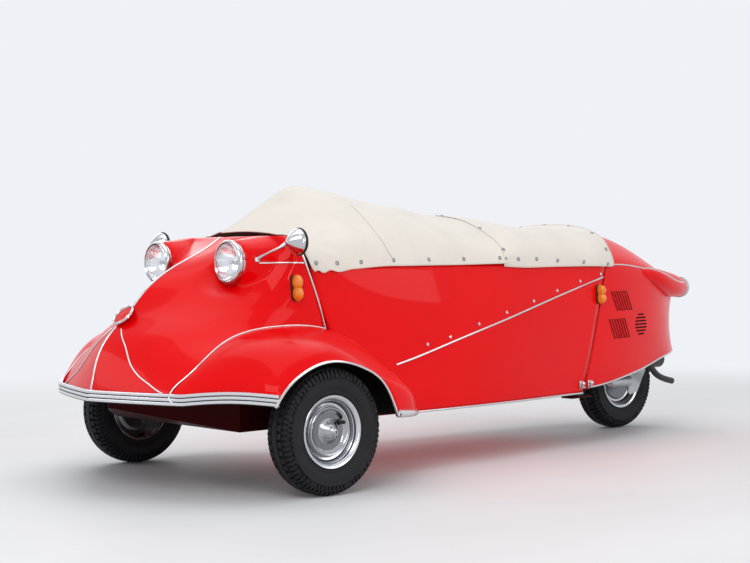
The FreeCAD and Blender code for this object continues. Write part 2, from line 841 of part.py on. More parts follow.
def bumper_strip():
    """Ribbed strip round the nose hem and on along both fenders to their wheel arches."""
    _, prow_y, flank_x, flank_y, side_x, side_y = NOSE_SECTIONS[0]
    end_x, end_y = STRIP_END
    layers = []
    for low, tall, deep in STRIP_RIBS:
        height = Vector(0, 0, dim.nose_hem.value + low)
        prow = Vector(0, front + prow_y - deep, 0) + height
        flank = Vector(flank_x + deep * 0.3, front + flank_y - deep, 0) + height
        corner = Vector(side_x + deep * 0.5, front + side_y - deep, 0) + height
        end = Vector(end_x + deep * 0.4, front + end_y - deep, 0) + height
        inside = [Vector(end_x - 40, front + end_y, 0) + height, Vector(0, front - 350, 0) + height]
        edges = [arc(prow, flank, corner)] + polyline([corner, end, *inside, prow])
        layers.append(Part.Face(Part.Wire(edges)).extrude(Vector(0, 0, tall)))
    half = layers[0].multiFuse(layers[1:]).cut(nose_block(clear)).cut(fender_block(clear))
    half = max(half.Solids, key=lambda solid: solid.Volume)
    return half.fuse(mirrored(half)).removeSplitter()


node("belly_pan", freeform("belly_pan", belly_pan()))
node("bumper_strip", freeform("bumper_strip", bumper_strip()))

# ---------------------------------------------------------------- lamps, indicators and mirrors

FORWARDS = Rotation(Vector(0, 0, 1), -90)
BACKWARDS = Rotation(Vector(0, 0, 1), 90)
SIDES = (("left", 1), ("right", -1))


def headlamp(name):
    """Bright bucket with its rim: turned about X, pointing forwards once placed."""
    bucket = dim.lamp_radius - dim.lamp_rim
    face = dim.lamp_depth - 20
    profile = (
        (-20, 0),
        (0, 42),
        (24, bucket),
        (face - 8, bucket),
        (face - 6, dim.lamp_radius),
        (face + 6, dim.lamp_radius),
        (face + 8, dim.lamp_radius - 8),
        (face + 2, dim.lamp_radius - 8),
        (20, 40),
        (0, 0),
    )
    return turned(name, profile)


def lens(name, radius, bulge, thickness):
    """Domed glass disc about X."""
    profile = ((0, radius), (bulge, 0), (bulge - thickness, 0), (-thickness, radius))
    return turned(name, profile, {0: ("y", 0 - radius * 0.9), 2: ("y", 0 - radius * 0.9)})


for side_name, side in SIDES:
    name = "headlamp_" + side_name
    spot = dim.lamp_half_spacing * side
    node(name, place(headlamp(name), spot, lamp_y, dim.lamp_height, FORWARDS))
    glass = "headlamp_glass_" + side_name
    radius = dim.lamp_radius - 8 - dim.seat_gap
    face_y = lamp_y - (dim.lamp_depth - 20) - 2 - dim.seat_gap - dim.lamp_glass
    node(glass, place(lens(glass, radius, 10, dim.lamp_glass), spot, face_y, dim.lamp_height, FORWARDS))


def tail_lamp(name):
    """Bright ring on the pod's end with a low dome inside it."""
    ring = dim.tail_lamp_radius
    profile = ((0, 0), (0, ring + 2), (8, ring + 2), (11, ring - 3), (19, 12), (20, 0))
    return turned(name, profile)


for side_name, side in SIDES:
    name = "tail_lamp_" + side_name
    spot = dim.tail_lamp_half_spacing * side
    node(name, place(tail_lamp(name), spot, tail_lamp_y + dim.seat_gap, dim.tail_lamp_height, BACKWARDS))


def mirror(name, side):
    """Half-dome head on a bent arm that stands on the nose flank."""
    profile = ((0, dim.mirror_radius), (-dim.mirror_depth, 14), (-dim.mirror_depth - 4, 0), (4, 0), (4, dim.mirror_radius))
    head = turned(name + "_head", profile)
    place(head, side * 389, front_y + 22, 783, BACKWARDS)
    foot = Vector(side * 279, front - 54, 729)
    knee = Vector(side * 322, front - 28, 753)
    neck = Vector(side * 374, front - 2, 780)
    arm = []
    for a, b in ((foot, knee), (knee, neck)):
        arm.append(Part.makeCylinder(6, a.distanceToPoint(b), a, b.sub(a)))
    arm.append(Part.makeSphere(6, knee))
    out = Vector(side * 0.9, 0.1, 0.3)
    base = Part.makeCylinder(11, 20, foot - out * 12, out)
    shell = nose_block(clear).fuse(nacelle(side, skin + clear))
    arm_obj = freeform(name + "_arm", arm[0].multiFuse(arm[1:] + [base]).cut(shell))
    return fused(name, [head, arm_obj])


for side_name, side in SIDES:
    node("mirror_" + side_name, mirror("mirror_" + side_name, side))


def indicator(side, x, y, height, tall, wide, panel):
    """Flat base seated on the panel, with an upright oval lens standing out sideways."""
    base = Part.makeBox(28, wide + 6, tall + 6, Vector(x - 20, y - wide / 2 - 3, height - tall / 2 - 3))
    body = Part.makeBox(26, wide, tall, Vector(x + 8, y - wide / 2, height - tall / 2))
    edges = [e for e in body.Edges if e.BoundBox.XMin > x + 20]
    shape = base.fuse(body.makeFillet(wide * 0.3, edges)).cut(panel)
    return shape if side > 0 else mirrored(shape)


for label, x, y, height, tall, wide, panel in (
    ("front_indicator", 350, front + 42, 636, 70, 28, nose_block(clear)),
    ("rear_indicator", 328, rear - 488, 574, 58, 24, tub_block(clear, dim.sill_height.value)),
):
    for side_name, side in SIDES:
        name = f"{label}_{side_name}"
        node(name, freeform(name, indicator(side, x, y, height, tall, wide, panel)))

# ---------------------------------------------------------------- front axle and steering

kingpin_x = dim.front_track / 2 - dim.kingpin_inset
arm_gap = dim.upright_half + dim.bearing_gap * 2
fork_x = kingpin_x - 50
axle_z = dim.belly_height + dim.belly_sheet + dim.seat_gap + dim.axle_tube_radius
arm_top = dim.axle_height + dim.upright_half
arm_bottom = arm_top - dim.steering_arm_thickness
column_y = front_y - dim.column_ahead_of_axle
eye_gap = dim.seat_gap
ROD_EYE = {
    # side: lower face of its rod's two eyes; the right rod's eyes lie on top of the left one's
    1: arm_top + eye_gap,
    -1: arm_top + eye_gap * 2 + dim.rod_eye_height,
}
pin_height = dim.rod_eye_height * 2 + eye_gap * 2 + 4


def front_axle():
    """Cross tube with a forked end each side for the kingpin, and a bored block for the column."""
    parts = [cylinder("axle_tube", dim.axle_tube_radius, fork_x * 2, -fork_x, front_y, axle_z, "X")]
    low = dim.axle_height - arm_gap - dim.lug_thickness
    for side_name, side in SIDES:
        parts.append(box("fork_post_" + side_name, fork_x * side - 9, front_y - 22, low,
                         18, 44, (arm_gap + dim.lug_thickness) * 2))
        start = fork_x if side > 0 else -(kingpin_x + 16)
        for level, lug_z in (("upper", dim.axle_height + arm_gap), ("lower", low)):
            parts.append(box(f"fork_{level}_{side_name}", start, front_y - 16, lug_z, 66, 32, dim.lug_thickness))
        parts.append(cylinder("kingpin_" + side_name, dim.kingpin_radius, (arm_gap + dim.lug_thickness + 4) * 2,
                              kingpin_x * side, front_y, low - 4))
    block_low = dim.belly_height + dim.belly_sheet + dim.seat_gap
    block_high = axle_z + dim.axle_tube_radius
    parts.append(box("column_block", -26, column_y - 26, block_low, 52, dim.column_ahead_of_axle + 26,
                     block_high - block_low))
    bore = cylinder("column_bore", dim.column_radius + dim.bearing_gap, 100, 0, column_y, block_low - 10)
    return cut("front_axle", fused("axle_solid", parts), [bore])


def knuckle(side_name, side):
    """Upright on its kingpin with the wheel spindle, brake back plate and steering arm."""
    x = kingpin_x * side
    upright = cylinder("upright_" + side_name, dim.upright_radius, dim.upright_half * 2,
                       x, front_y, dim.axle_height - dim.upright_half)
    spindle_long = dim.kingpin_inset + dim.disc_offset + dim.rim_sheet - 2
    spindle = cylinder("spindle_" + side_name, dim.spindle_radius, spindle_long,
                       kingpin_x if side > 0 else -kingpin_x - spindle_long, front_y, dim.axle_height, "X")
    plate_x = kingpin_x + dim.kingpin_inset - dim.drum_half - 2 - dim.backplate_sheet
    plate = cylinder("backplate_" + side_name, dim.backplate_radius, dim.backplate_sheet,
                     plate_x if side > 0 else -plate_x - dim.backplate_sheet, front_y, dim.axle_height, "X")
    pin_y = front_y + dim.steering_arm
    arm = box("steering_arm_" + side_name, x - 7, front_y, arm_bottom, 14, dim.steering_arm, dim.steering_arm_thickness)
    eye_top = ROD_EYE[side] - eye_gap
    eye = cylinder("arm_eye_" + side_name, 11, eye_top - arm_bottom, x, pin_y, arm_bottom)
    pin = cylinder("arm_pin_" + side_name, dim.ball_pin_radius, pin_height, x, pin_y, arm_top)
    solid = fused("knuckle_solid_" + side_name, [upright, spindle, plate, arm, eye, pin])
    bore = cylinder("kingpin_bore_" + side_name, dim.kingpin_radius + dim.bearing_gap, dim.upright_half * 2 + 4,
                    x, front_y, dim.axle_height - dim.upright_half - 2)
    return cut("knuckle_" + side_name, solid, [bore])


def tie_rod(side_name, side):
    """Straight rod from the column's pin to the steering arm's pin, with an eye at each end."""
    eye_z = ROD_EYE[side]
    inner_y = column_y + dim.steering_arm
    outer_y = front_y + dim.steering_arm
    height = eye_z + dim.rod_eye_height / 2
    a = Vector(0, inner_y.value, height.value)
    b = Vector(kingpin_x.value * side, outer_y.value, height.value)
    reach = b.sub(a).normalize() * (dim.rod_eye_radius.value - 2)
    shaft = Part.makeCylinder(dim.tie_rod_radius.value, b.distanceToPoint(a) - 2 * reach.Length, a + reach, b.sub(a))
    parts = [freeform("rod_" + side_name, shaft)]
    holes = []
    for end, x, y in (("inner", Size.of(0), inner_y), ("outer", kingpin_x * side, outer_y)):
        parts.append(cylinder(f"rod_{end}_eye_{side_name}", dim.rod_eye_radius, dim.rod_eye_height, x, y, eye_z))
        holes.append(cylinder(f"rod_{end}_hole_{side_name}", dim.ball_pin_radius + dim.bearing_gap,
                              dim.rod_eye_height + 6, x, y, eye_z - 3))
    return cut("tie_rod_" + side_name, fused("rod_solid_" + side_name, parts), holes)


def steering_column():
    """Foot of the steering column with its drop arm, whose one pin carries both rods' inner eyes."""
    low = dim.belly_height + dim.belly_sheet + 6
    column = cylinder("column_shaft", dim.column_radius, 400 - low, 0, column_y, low)
    arm = box("drop_arm", -12, column_y, arm_bottom, 24, dim.steering_arm, dim.steering_arm_thickness)
    head = cylinder("drop_arm_head", 13, dim.steering_arm_thickness, 0, column_y + dim.steering_arm, arm_bottom)
    boss = cylinder("drop_arm_boss", 20, dim.steering_arm_thickness, 0, column_y, arm_bottom)
    pin = cylinder("rod_pin", dim.ball_pin_radius, pin_height, 0, column_y + dim.steering_arm, arm_top)
    return fused("steering_column", [column, arm, head, boss, pin])


node("front_axle", front_axle())
for side_name, side in SIDES:
    node("knuckle_" + side_name, knuckle(side_name, side))
    node("tie_rod_" + side_name, tie_rod(side_name, side))
node("steering_column", steering_column())

# ---------------------------------------------------------------- rear frame, engine and wheel carrier

tube_r = dim.frame_tube_radius
hinge_y = rear_y + dim.tail_hinge_from_rear_axle
swing_y = rear_y + dim.swing_pivot_from_rear_axle


def main_frame():
    """Twin tubes from the tub's bulkhead over the rear wheel, with cross tubes and the tail's hinge posts."""
    bulkhead_y = seam_y(dim.frame_height.value + tube_r.value) - gap / 2 + 0.8 - rear
    start = rear_y + bulkhead_y
    end = rear_y + 150
    parts = []
    for side_name, side in SIDES:
        x = dim.frame_half * side
        parts.append(cylinder("long_tube_" + side_name, tube_r, end - start, x, start, dim.frame_height, "Y"))
        drop = dim.frame_height - 212
        parts.append(box("pivot_plate_" + side_name, x - 6, swing_y - 22, 212, 12, 44, drop))
        parts.append(cylinder("hinge_post_" + side_name, 9, dim.tail_hinge_height - dim.frame_height,
                              70 * side, hinge_y, dim.frame_height))
    for number, y in enumerate((start + 30, swing_y, hinge_y, rear_y, end)):
        parts.append(cylinder(f"cross_tube_{number}", tube_r, dim.frame_half * 2, -dim.frame_half, y, dim.frame_height, "X"))
    parts.append(cylinder("swing_pivot", 9, dim.frame_half * 2, -dim.frame_half, swing_y, 232, "X"))
    parts.append(cylinder("tail_hinge_pin", dim.tail_hinge_radius, 220, -110, hinge_y, dim.tail_hinge_height, "X"))
    return fused("main_frame", parts)


def swing_arm():
    """Cast arm and chain case on the wheel's left, a plain arm on its right, and the axle."""
    half = dim.swing_arm_half
    parts = []
    for side_name, side in SIDES:
        x = half * side
        thick = 22 if side > 0 else 12
        length = math.hypot(dim.swing_pivot_from_rear_axle.value, 232 - dim.axle_height.value)
        arm_box = Part.makeBox(thick, length, 44, Vector(0, 0, -22))
        angle = math.degrees(math.atan2(dim.axle_height.value - 232, -dim.swing_pivot_from_rear_axle.value))
        arm_box.rotate(Vector(0, 0, 0), Vector(1, 0, 0), angle)
        start_x = x.value - thick / 2
        arm_box.translate(Vector(start_x, rear + dim.swing_pivot_from_rear_axle.value, 232))
        parts.append(freeform("swing_beam_" + side_name, arm_box))
        parts.append(cylinder("swing_eye_" + side_name, 24, thick, x - thick / 2, swing_y, 232, "X"))
        parts.append(cylinder("axle_boss_" + side_name, 30, thick, x - thick / 2, rear_y, dim.axle_height, "X"))
    plate = [Vector(half.value + 2, rear + y, height) for y, height in
             ((-18, 310), (94, 310), (94, 240), (40, 152), (-8, 143), (-18, 155))]
    upright = Part.Face(Part.makePolygon(plate + plate[:1])).extrude(Vector(6, 0, 0))
    parts.append(freeform("upright_plate", upright))
    parts.append(cylinder("rear_axle", dim.spindle_radius, half * 2, -half, rear_y, dim.axle_height, "X"))
    hole = cylinder("swing_bore", 9 + dim.bearing_gap, dim.frame_half * 2, -dim.frame_half, swing_y, 232, "X")
    return cut("swing_arm", fused("swing_solid", parts), [hole])


def rear_mudguard():
    """Half hoop over the rear wheel, hung from the frame's cross tube."""
    inner_r = dim.frame_height.value - tube_r.value - dim.axle_height.value - dim.seat_gap.value - 2.5
    outer_r = inner_r + 2.5
    centre = Vector(-66, rear, dim.axle_height.value)
    ring = Part.makeCylinder(outer_r, 132, centre, Vector(1, 0, 0))
    ring = ring.cut(Part.makeCylinder(inner_r, 132, centre, Vector(1, 0, 0)))
    return ring.common(Part.makeBox(200, 600, 300, Vector(-100, rear - 300, dim.axle_height.value + 90)))


EXHAUST_PIPE = (
    # x, y from the rear axle, height
    (146, 118, 268),
    (134, 158, 236),
    (120, 232, 187),
)


def exhaust():
    """Silencer beside the wheel, its bent tail pipe and its hanger under the frame tube."""
    x = 146
    can = Part.makeCylinder(dim.silencer_radius.value, 270, Vector(x, rear - 150, 290), Vector(0, 1, 0))
    radius = dim.tail_pipe_radius.value
    bend = [Vector(px, rear + py, pz) for px, py, pz in EXHAUST_PIPE]
    parts = []
    for a, b in zip(bend, bend[1:]):
        parts.append(Part.makeCylinder(radius, a.distanceToPoint(b), a, b.sub(a)))
    parts.append(Part.makeSphere(radius, bend[1]))
    hanger_top = dim.frame_height.value - dim.frame_tube_radius.value - clear
    parts.append(Part.makeBox(8, 40, hanger_top - 300, Vector(dim.frame_half.value - 4, rear + 40, 300)))
    return can.multiFuse(parts)


node("main_frame", main_frame())
node("swing_arm", swing_arm())
node("rear_mudguard", freeform("rear_mudguard", rear_mudguard()))
node("exhaust", freeform("exhaust", exhaust()))
engine_top = dim.frame_height - tube_r - dim.seat_gap
node("engine_block", box("engine_block", -112, rear_y - 490, 226, 224, 130, engine_top - 226))

# ---------------------------------------------------------------- assembly of the document

doc.recompute()
for item in doc.Objects:
    if "Invalid" in item.State or "Error" in item.State:
        raise ValueError(f"{item.Name} didn't recompute: {item.State}")
for name, obj in NODES.items():
    if obj.Shape.isNull() or not obj.Shape.isValid():
        raise ValueError(f"{name} has no valid shape")
    if len(obj.Shape.Solids) != 1:
        raise ValueError(f"{name} has {len(obj.Shape.Solids)} solids, not one")

os.makedirs("parts", exist_ok=True)
for name, obj in NODES.items():
    obj.Shape.exportStep(os.path.join("parts", name + ".step"))
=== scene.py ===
"""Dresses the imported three-wheeled bubble car: panels, cloth covers, lamps, wheels and bright trim."""

import logging
import math
from dataclasses import dataclass, field
from enum import Enum
from typing import Iterable, Sequence

import bmesh
import bpy
import numpy as np
from mathutils import Matrix, Vector
from mathutils.bvhtree import BVHTree


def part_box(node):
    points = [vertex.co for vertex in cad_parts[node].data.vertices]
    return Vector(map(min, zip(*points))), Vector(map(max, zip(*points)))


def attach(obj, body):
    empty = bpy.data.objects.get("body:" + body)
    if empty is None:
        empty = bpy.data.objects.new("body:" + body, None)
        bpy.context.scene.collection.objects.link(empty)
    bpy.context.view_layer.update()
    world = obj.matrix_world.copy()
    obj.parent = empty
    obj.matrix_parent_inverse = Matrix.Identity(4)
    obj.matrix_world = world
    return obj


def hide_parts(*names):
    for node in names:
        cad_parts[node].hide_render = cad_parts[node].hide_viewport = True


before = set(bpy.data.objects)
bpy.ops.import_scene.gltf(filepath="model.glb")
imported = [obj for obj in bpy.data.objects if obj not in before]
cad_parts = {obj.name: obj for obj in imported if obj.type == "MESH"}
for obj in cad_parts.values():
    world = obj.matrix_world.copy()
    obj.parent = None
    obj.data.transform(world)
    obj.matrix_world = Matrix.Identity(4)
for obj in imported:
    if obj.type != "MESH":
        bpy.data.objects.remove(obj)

logging.basicConfig(level=logging.INFO, format="%(message)s")
LOG = logging.getLogger("bubble_car")

Mesh = bmesh.types.BMesh
Material = bpy.types.Material
Socket = bpy.types.NodeSocket
Row = tuple[float, ...]
Rows = tuple[Row, ...]
Path = Sequence[Sequence[float]]
Value = Socket | float | Row

MM = 0.001
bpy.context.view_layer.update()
BODY = "chassis"
TAIL_BODY = "tail"
SIDES = ("right", "left")


def middle_of(node: str) -> Vector:
    """The middle of a CAD node's box, in millimetres."""
    low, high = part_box(node)
    return (low + high) / 2 / MM


# Sizes are in millimetres. Places along the car count from the front axle, or on the tail from the rear
# one, and heights from the ground.
FRONT = middle_of("rim_front_left").y
REAR = middle_of("rim_rear").y
LAMP_X, _, LAMP_Z = middle_of("headlamp_left")
WAIST = 700.0
SEAM_GAP = 6.5
BACKDROP = (0.86, 0.88, 0.92, 1)

# Places beyond every panel, from which lines are cast at the car, and the ways they go.
OUTBOARD, AHEAD, ABOVE = 900.0, -2500.0, 1500.0
INWARDS, BACKWARDS, DOWNWARDS = Vector((-1, 0, 0)), Vector((0, 1, 0)), Vector((0, 0, -1))


# ------------------------------------------------------------------ shape helpers


def spline(knots: Sequence[float], values: np.ndarray, at: np.ndarray) -> np.ndarray:
    """Reads a natural cubic spline.

    Args:
        knots: places of the known values, rising.
        values: one value, of any shape, per knot.
        at: places to read.

    Returns:
        The values at those places.
    """
    x = np.asarray(knots, float)
    y = np.asarray(values, float)
    at = np.asarray(at, float)
    step = np.diff(x)
    count = len(x)
    system = np.eye(count)
    right = np.zeros_like(y)
    for i in range(1, count - 1):
        system[i, i - 1:i + 2] = step[i - 1], 2 * (step[i - 1] + step[i]), step[i]
        right[i] = 6 * ((y[i + 1] - y[i]) / step[i] - (y[i] - y[i - 1]) / step[i - 1])
    bend = np.linalg.solve(system, right.reshape(count, -1)).reshape(y.shape)
    k = np.clip(np.searchsorted(x, at, "right") - 1, 0, count - 2)
    tail = (1,) * (y.ndim - 1)
    past, ahead, span = ((v.reshape(v.shape + tail)) for v in (at - x[k], x[k + 1] - at, step[k]))
    cubic = (bend[k] * ahead ** 3 + bend[k + 1] * past ** 3) / (6 * span)
    falling = (y[k] / span - bend[k] * span / 6) * ahead
    return cubic + falling + (y[k + 1] / span - bend[k + 1] * span / 6) * past


def smooth_path(points: Path, count: int) -> np.ndarray:
    """Draws a smooth curve through points.

    Args:
        points: places that it passes through.
        count: how many places to read, evenly spaced along the chords.

    Returns:
        The places read.
    """
    pts = np.asarray(points, float)
    lengths = np.concatenate([[0.0], np.cumsum(np.linalg.norm(np.diff(pts, axis=0), axis=1))])
    return spline(lengths, pts, np.linspace(0, lengths[-1], count))


def arc_through(start: np.ndarray, middle: np.ndarray, end: np.ndarray, count: int) -> np.ndarray:
    """Draws the circle through three plane points.

    Args:
        start: where the arc begins.
        middle: a place on its way.
        end: where it ends.
        count: how many points to make.

    Returns:
        Evenly spaced points, or a straight row where the three are in line.
    """
    a, b, c = (np.asarray(p, float) for p in (start, middle, end))
    system = 2 * np.array([b - a, c - a])
    if abs(np.linalg.det(system)) < 1e-6:
        return a + (c - a) * np.linspace(0, 1, count)[:, None]
    centre = np.linalg.solve(system, np.array([b @ b - a @ a, c @ c - a @ a]))
    first, mid, last = (math.atan2(*(p - centre)[::-1]) for p in (a, b, c))
    turn = (last - first) % (2 * math.pi)
    if (mid - first) % (2 * math.pi) > turn:
        turn -= 2 * math.pi
    angles = first + turn * np.linspace(0, 1, count)
    return centre + np.linalg.norm(a - centre) * np.stack([np.cos(angles), np.sin(angles)], 1)


def panel(points: np.ndarray) -> Mesh:
    """Draws a grid of quads out over rows of points.

    Args:
        points: the places, in millimetres, as rows by columns by three.

    Returns:
        The mesh.
    """
    rows, columns, _ = points.shape
    bm = bmesh.new()
    bmesh.ops.create_grid(bm, x_segments=columns - 1, y_segments=rows - 1, size=1.0)
    for vert in bm.verts:
        column = round((vert.co.x + 1) / 2 * (columns - 1))
        row = round((vert.co.y + 1) / 2 * (rows - 1))
        vert.co = Vector(points[row, column]) * MM
    return bm


def turned(profile: Path, place: Matrix, steps: int = 72) -> Mesh:
    """A shape turned about its own X axis.

    Args:
        profile: (along the axis, radius) of each corner, in millimetres.
        place: where the shape goes, in metres.
        steps: facets round the axis.

    Returns:
        The turned mesh.
    """
    bm = bmesh.new()
    verts = [bm.verts.new((along * MM, radius * MM, 0)) for along, radius in profile]
    edges = [bm.edges.new(pair) for pair in zip(verts, verts[1:])]
    bmesh.ops.spin(bm, geom=verts + edges, cent=(0, 0, 0), axis=(1, 0, 0), dvec=(0, 0, 0),
                   angle=2 * math.pi, steps=steps, use_merge=True)
    bmesh.ops.remove_doubles(bm, verts=bm.verts, dist=1e-6)
    bmesh.ops.transform(bm, matrix=place, verts=bm.verts)
    return bm


def both_halves(bm: Mesh) -> None:
    """Adds the mirror image across the car's middle plane and joins it at x = 0."""
    geometry = bm.verts[:] + bm.edges[:] + bm.faces[:]
    bmesh.ops.mirror(bm, geom=geometry, axis="X", merge_dist=2e-5)


def whole_skin(points: np.ndarray, inside: Row, join: float = 0.0) -> Mesh:
    """Draws both halves of a skin.

    Args:
        points: the left half's places, in millimetres, as rows by columns by three.
        inside: a place behind the skin, in millimetres.
        join: points closer than this, in millimetres, become one.

    Returns:
        The mesh, its faces outwards.
    """
    bm = panel(points)
    both_halves(bm)
    if join:
        bmesh.ops.remove_doubles(bm, verts=bm.verts, dist=join * MM)
    face_outwards(bm, Vector(inside) * MM)
    return bm


def mirrored(bm: Mesh) -> Mesh:
    """Makes the same shape for the car's other side.

    Args:
        bm: the shape, which is left as it is.

    Returns:
        Its mirror image, with its faces still outwards.
    """
    other = bm.copy()
    bmesh.ops.scale(other, vec=(-1, 1, 1), verts=other.verts)
    bmesh.ops.reverse_faces(other, faces=other.faces)
    return other


def face_outwards(bm: Mesh, inside: Vector) -> None:
    """Turns all faces to look away from the inside.

    Args:
        bm: the shape.
        inside: a point behind its faces, in metres.
    """
    bmesh.ops.recalc_face_normals(bm, faces=bm.faces)
    total = sum((f.calc_center_median() - inside).dot(f.normal) * f.calc_area() for f in bm.faces)
    if total < 0:
        bmesh.ops.reverse_faces(bm, faces=bm.faces)


def centre_of(bm: Mesh) -> Vector:
    """The mean of a mesh's points."""
    return sum((v.co for v in bm.verts), Vector()) / len(bm.verts)


def keep(bm: Mesh, name: str, material: Material, body: str, *,
         sharp: float = 35.0, sheet: float = 0.0, stands_for: Iterable[str] = (),
         lining: Material | None = None) -> bpy.types.Object:
    """Makes a finished piece of a mesh.

    Args:
        bm: the mesh, which is used up.
        name: the piece's name.
        material: its finish.
        body: the CAD body that it rides on.
        sharp: edges that turn by more than this many degrees stay crisp.
        sheet: thickness of a wall added inwards, in millimetres.
        stands_for: the CAD nodes that it replaces.
        lining: another finish for the inside of the sheet, such as red darkened as painted shade.

    Returns:
        The new object.
    """
    mesh = bpy.data.meshes.new(name)
    bm.to_mesh(mesh)
    bm.free()
    mesh.materials.append(material)
    mesh.polygons.foreach_set("use_smooth", [True] * len(mesh.polygons))
    mesh.set_sharp_from_angle(angle=math.radians(sharp))
    obj = bpy.data.objects.new(name, mesh)
    bpy.context.scene.collection.objects.link(obj)
    if sheet:
        wall = obj.modifiers.new("wall", "SOLIDIFY")
        wall.thickness = sheet * MM
        wall.offset = -1
        if lining:
            mesh.materials.append(lining)
            wall.material_offset = 1
    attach(obj, body)
    if stands_for:
        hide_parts(*stands_for)
    LOG.info("made %s", name)
    return obj


def rod_mesh(path: Path, radius: float | Sequence[float], resolution: int = 2) -> Mesh:
    """Makes a round bar.

    Args:
        path: its middle line, in millimetres.
        radius: one radius, or one per point, in millimetres.
        resolution: how finely it is rounded.

    Returns:
        The bar with closed ends.
    """
    curve = bpy.data.curves.new("rod", "CURVE")
    curve.dimensions = "3D"
    curve.bevel_resolution = resolution
    curve.use_fill_caps = True
    radii = [radius] * len(path) if isinstance(radius, (int, float)) else list(radius)
    curve.bevel_depth = MM
    line = curve.splines.new("POLY")
    line.points.add(len(path) - 1)
    for point, spot, size in zip(line.points, path, radii):
        point.co = (*(float(c) * MM for c in spot), 1)
        point.radius = size
    holder = bpy.data.objects.new("rod", curve)
    bpy.context.scene.collection.objects.link(holder)
    bpy.context.view_layer.update()
    mesh = bpy.data.meshes.new_from_object(holder.evaluated_get(bpy.context.evaluated_depsgraph_get()))
    bm = bmesh.new()
    bm.from_mesh(mesh)
    bpy.data.objects.remove(holder)
    bpy.data.curves.remove(curve)
    bpy.data.meshes.remove(mesh)
    return bm


def merge(meshes: Iterable[Mesh]) -> Mesh:
    """Puts several meshes into one.

    Args:
        meshes: what goes in, all used up.

    Returns:
        The one mesh.
    """
    whole = bmesh.new()
    for bm in meshes:
        mesh = bpy.data.meshes.new("part")
        bm.to_mesh(mesh)
        bm.free()
        whole.from_mesh(mesh)
        bpy.data.meshes.remove(mesh)
    return whole


def on_its_side(bm: Mesh, side: str) -> Mesh:
    """The left side's shape itself, or its mirror image for the right side."""
    return mirrored(bm) if side == "right" else bm


def both_sides(bm: Mesh) -> Mesh:
    """A shape, which is used up, and its mirror image as one mesh."""
    return merge([mirrored(bm), bm])


def block(middle: Vector, size: Row, rounding: float) -> Mesh:
    """Makes a box.

    Args:
        middle: its middle, in millimetres.
        size: its width, length and height.
        rounding: radius of its edges, or 0 for sharp ones.

    Returns:
        The mesh.
    """
    bm = bmesh.new()
    bmesh.ops.create_cube(bm, size=1.0)
    bmesh.ops.scale(bm, vec=Vector(size) * MM, verts=bm.verts)
    if rounding:
        bmesh.ops.bevel(bm, geom=bm.edges[:], offset=rounding * MM, segments=3, affect="EDGES",
                        profile=0.5, material=-1)
    bmesh.ops.translate(bm, vec=middle * MM, verts=bm.verts)
    return bm


def facing(x: float, y: float, height: float, turn: float) -> Matrix:
    """Places a turned shape.

    Args:
        x: place across, in millimetres.
        y: place along.
        height: place up.
        turn: turn about Z in degrees, where 0 keeps its axis along +X.

    Returns:
        The place, in metres.
    """
    spot = Matrix.Translation(Vector((x, y, height)) * MM)
    return spot @ Matrix.Rotation(math.radians(turn), 4, "Z")


def standing(foot: Vector, normal: Vector) -> Matrix:
    """The place of a turned shape that stands on a panel at a foot, in millimetres."""
    return Matrix.Translation(foot * MM) @ normal.to_track_quat("X", "Z").to_matrix().to_4x4()


class Surface:
    """A finished panel that trim can be laid on."""

    def __init__(self, bm: Mesh) -> None:
        """Takes a copy of the panel's shape."""
        self.tree = BVHTree.FromBMesh(bm)

    def hit(self, start: Vector, way: Vector) -> tuple[Vector, Vector]:
        """Finds where a line meets the panel.

        Args:
            start: a place outside, in millimetres.
            way: the line's direction.

        Returns:
            The point, in millimetres, and the panel's outward direction there.
        """
        place, normal, _, _ = self.tree.ray_cast(start * MM, way)
        if place is None:
            place, normal, _, _ = self.tree.find_nearest(start * MM)
        if normal.dot(way) > 0:
            normal = -normal
        return place / MM, normal

    def on_side(self, y: float, height: float) -> tuple[Vector, Vector]:
        """The point and outward direction of the left side at a place along the car and a height."""
        return self.hit(Vector((OUTBOARD, y, height)), INWARDS)

    def side(self, y: float, height: float, proud: float = 0.0) -> Vector:
        """The left side there, moved outwards by proud."""
        place, normal = self.on_side(y, height)
        return place + normal * proud

    def front(self, x: float, height: float, proud: float = 0.0) -> Vector:
        """The front at a place across the car and a height."""
        place, normal = self.hit(Vector((x, AHEAD, height)), BACKWARDS)
        return place + normal * proud

    def nearest(self, point: Sequence[float], proud: float = 0.0) -> Vector:
        """Finds the panel's nearest point.

        Args:
            point: a place close to the panel, in millimetres.
            proud: how far to move off the panel, on the point's side.

        Returns:
            The point found, in millimetres.
        """
        place, normal, _, _ = self.tree.find_nearest(Vector(point) * MM)
        if normal.dot(Vector(point) * MM - place) < 0 and proud:
            normal = -normal
        return place / MM + normal * proud


# ------------------------------------------------------------------ finishes


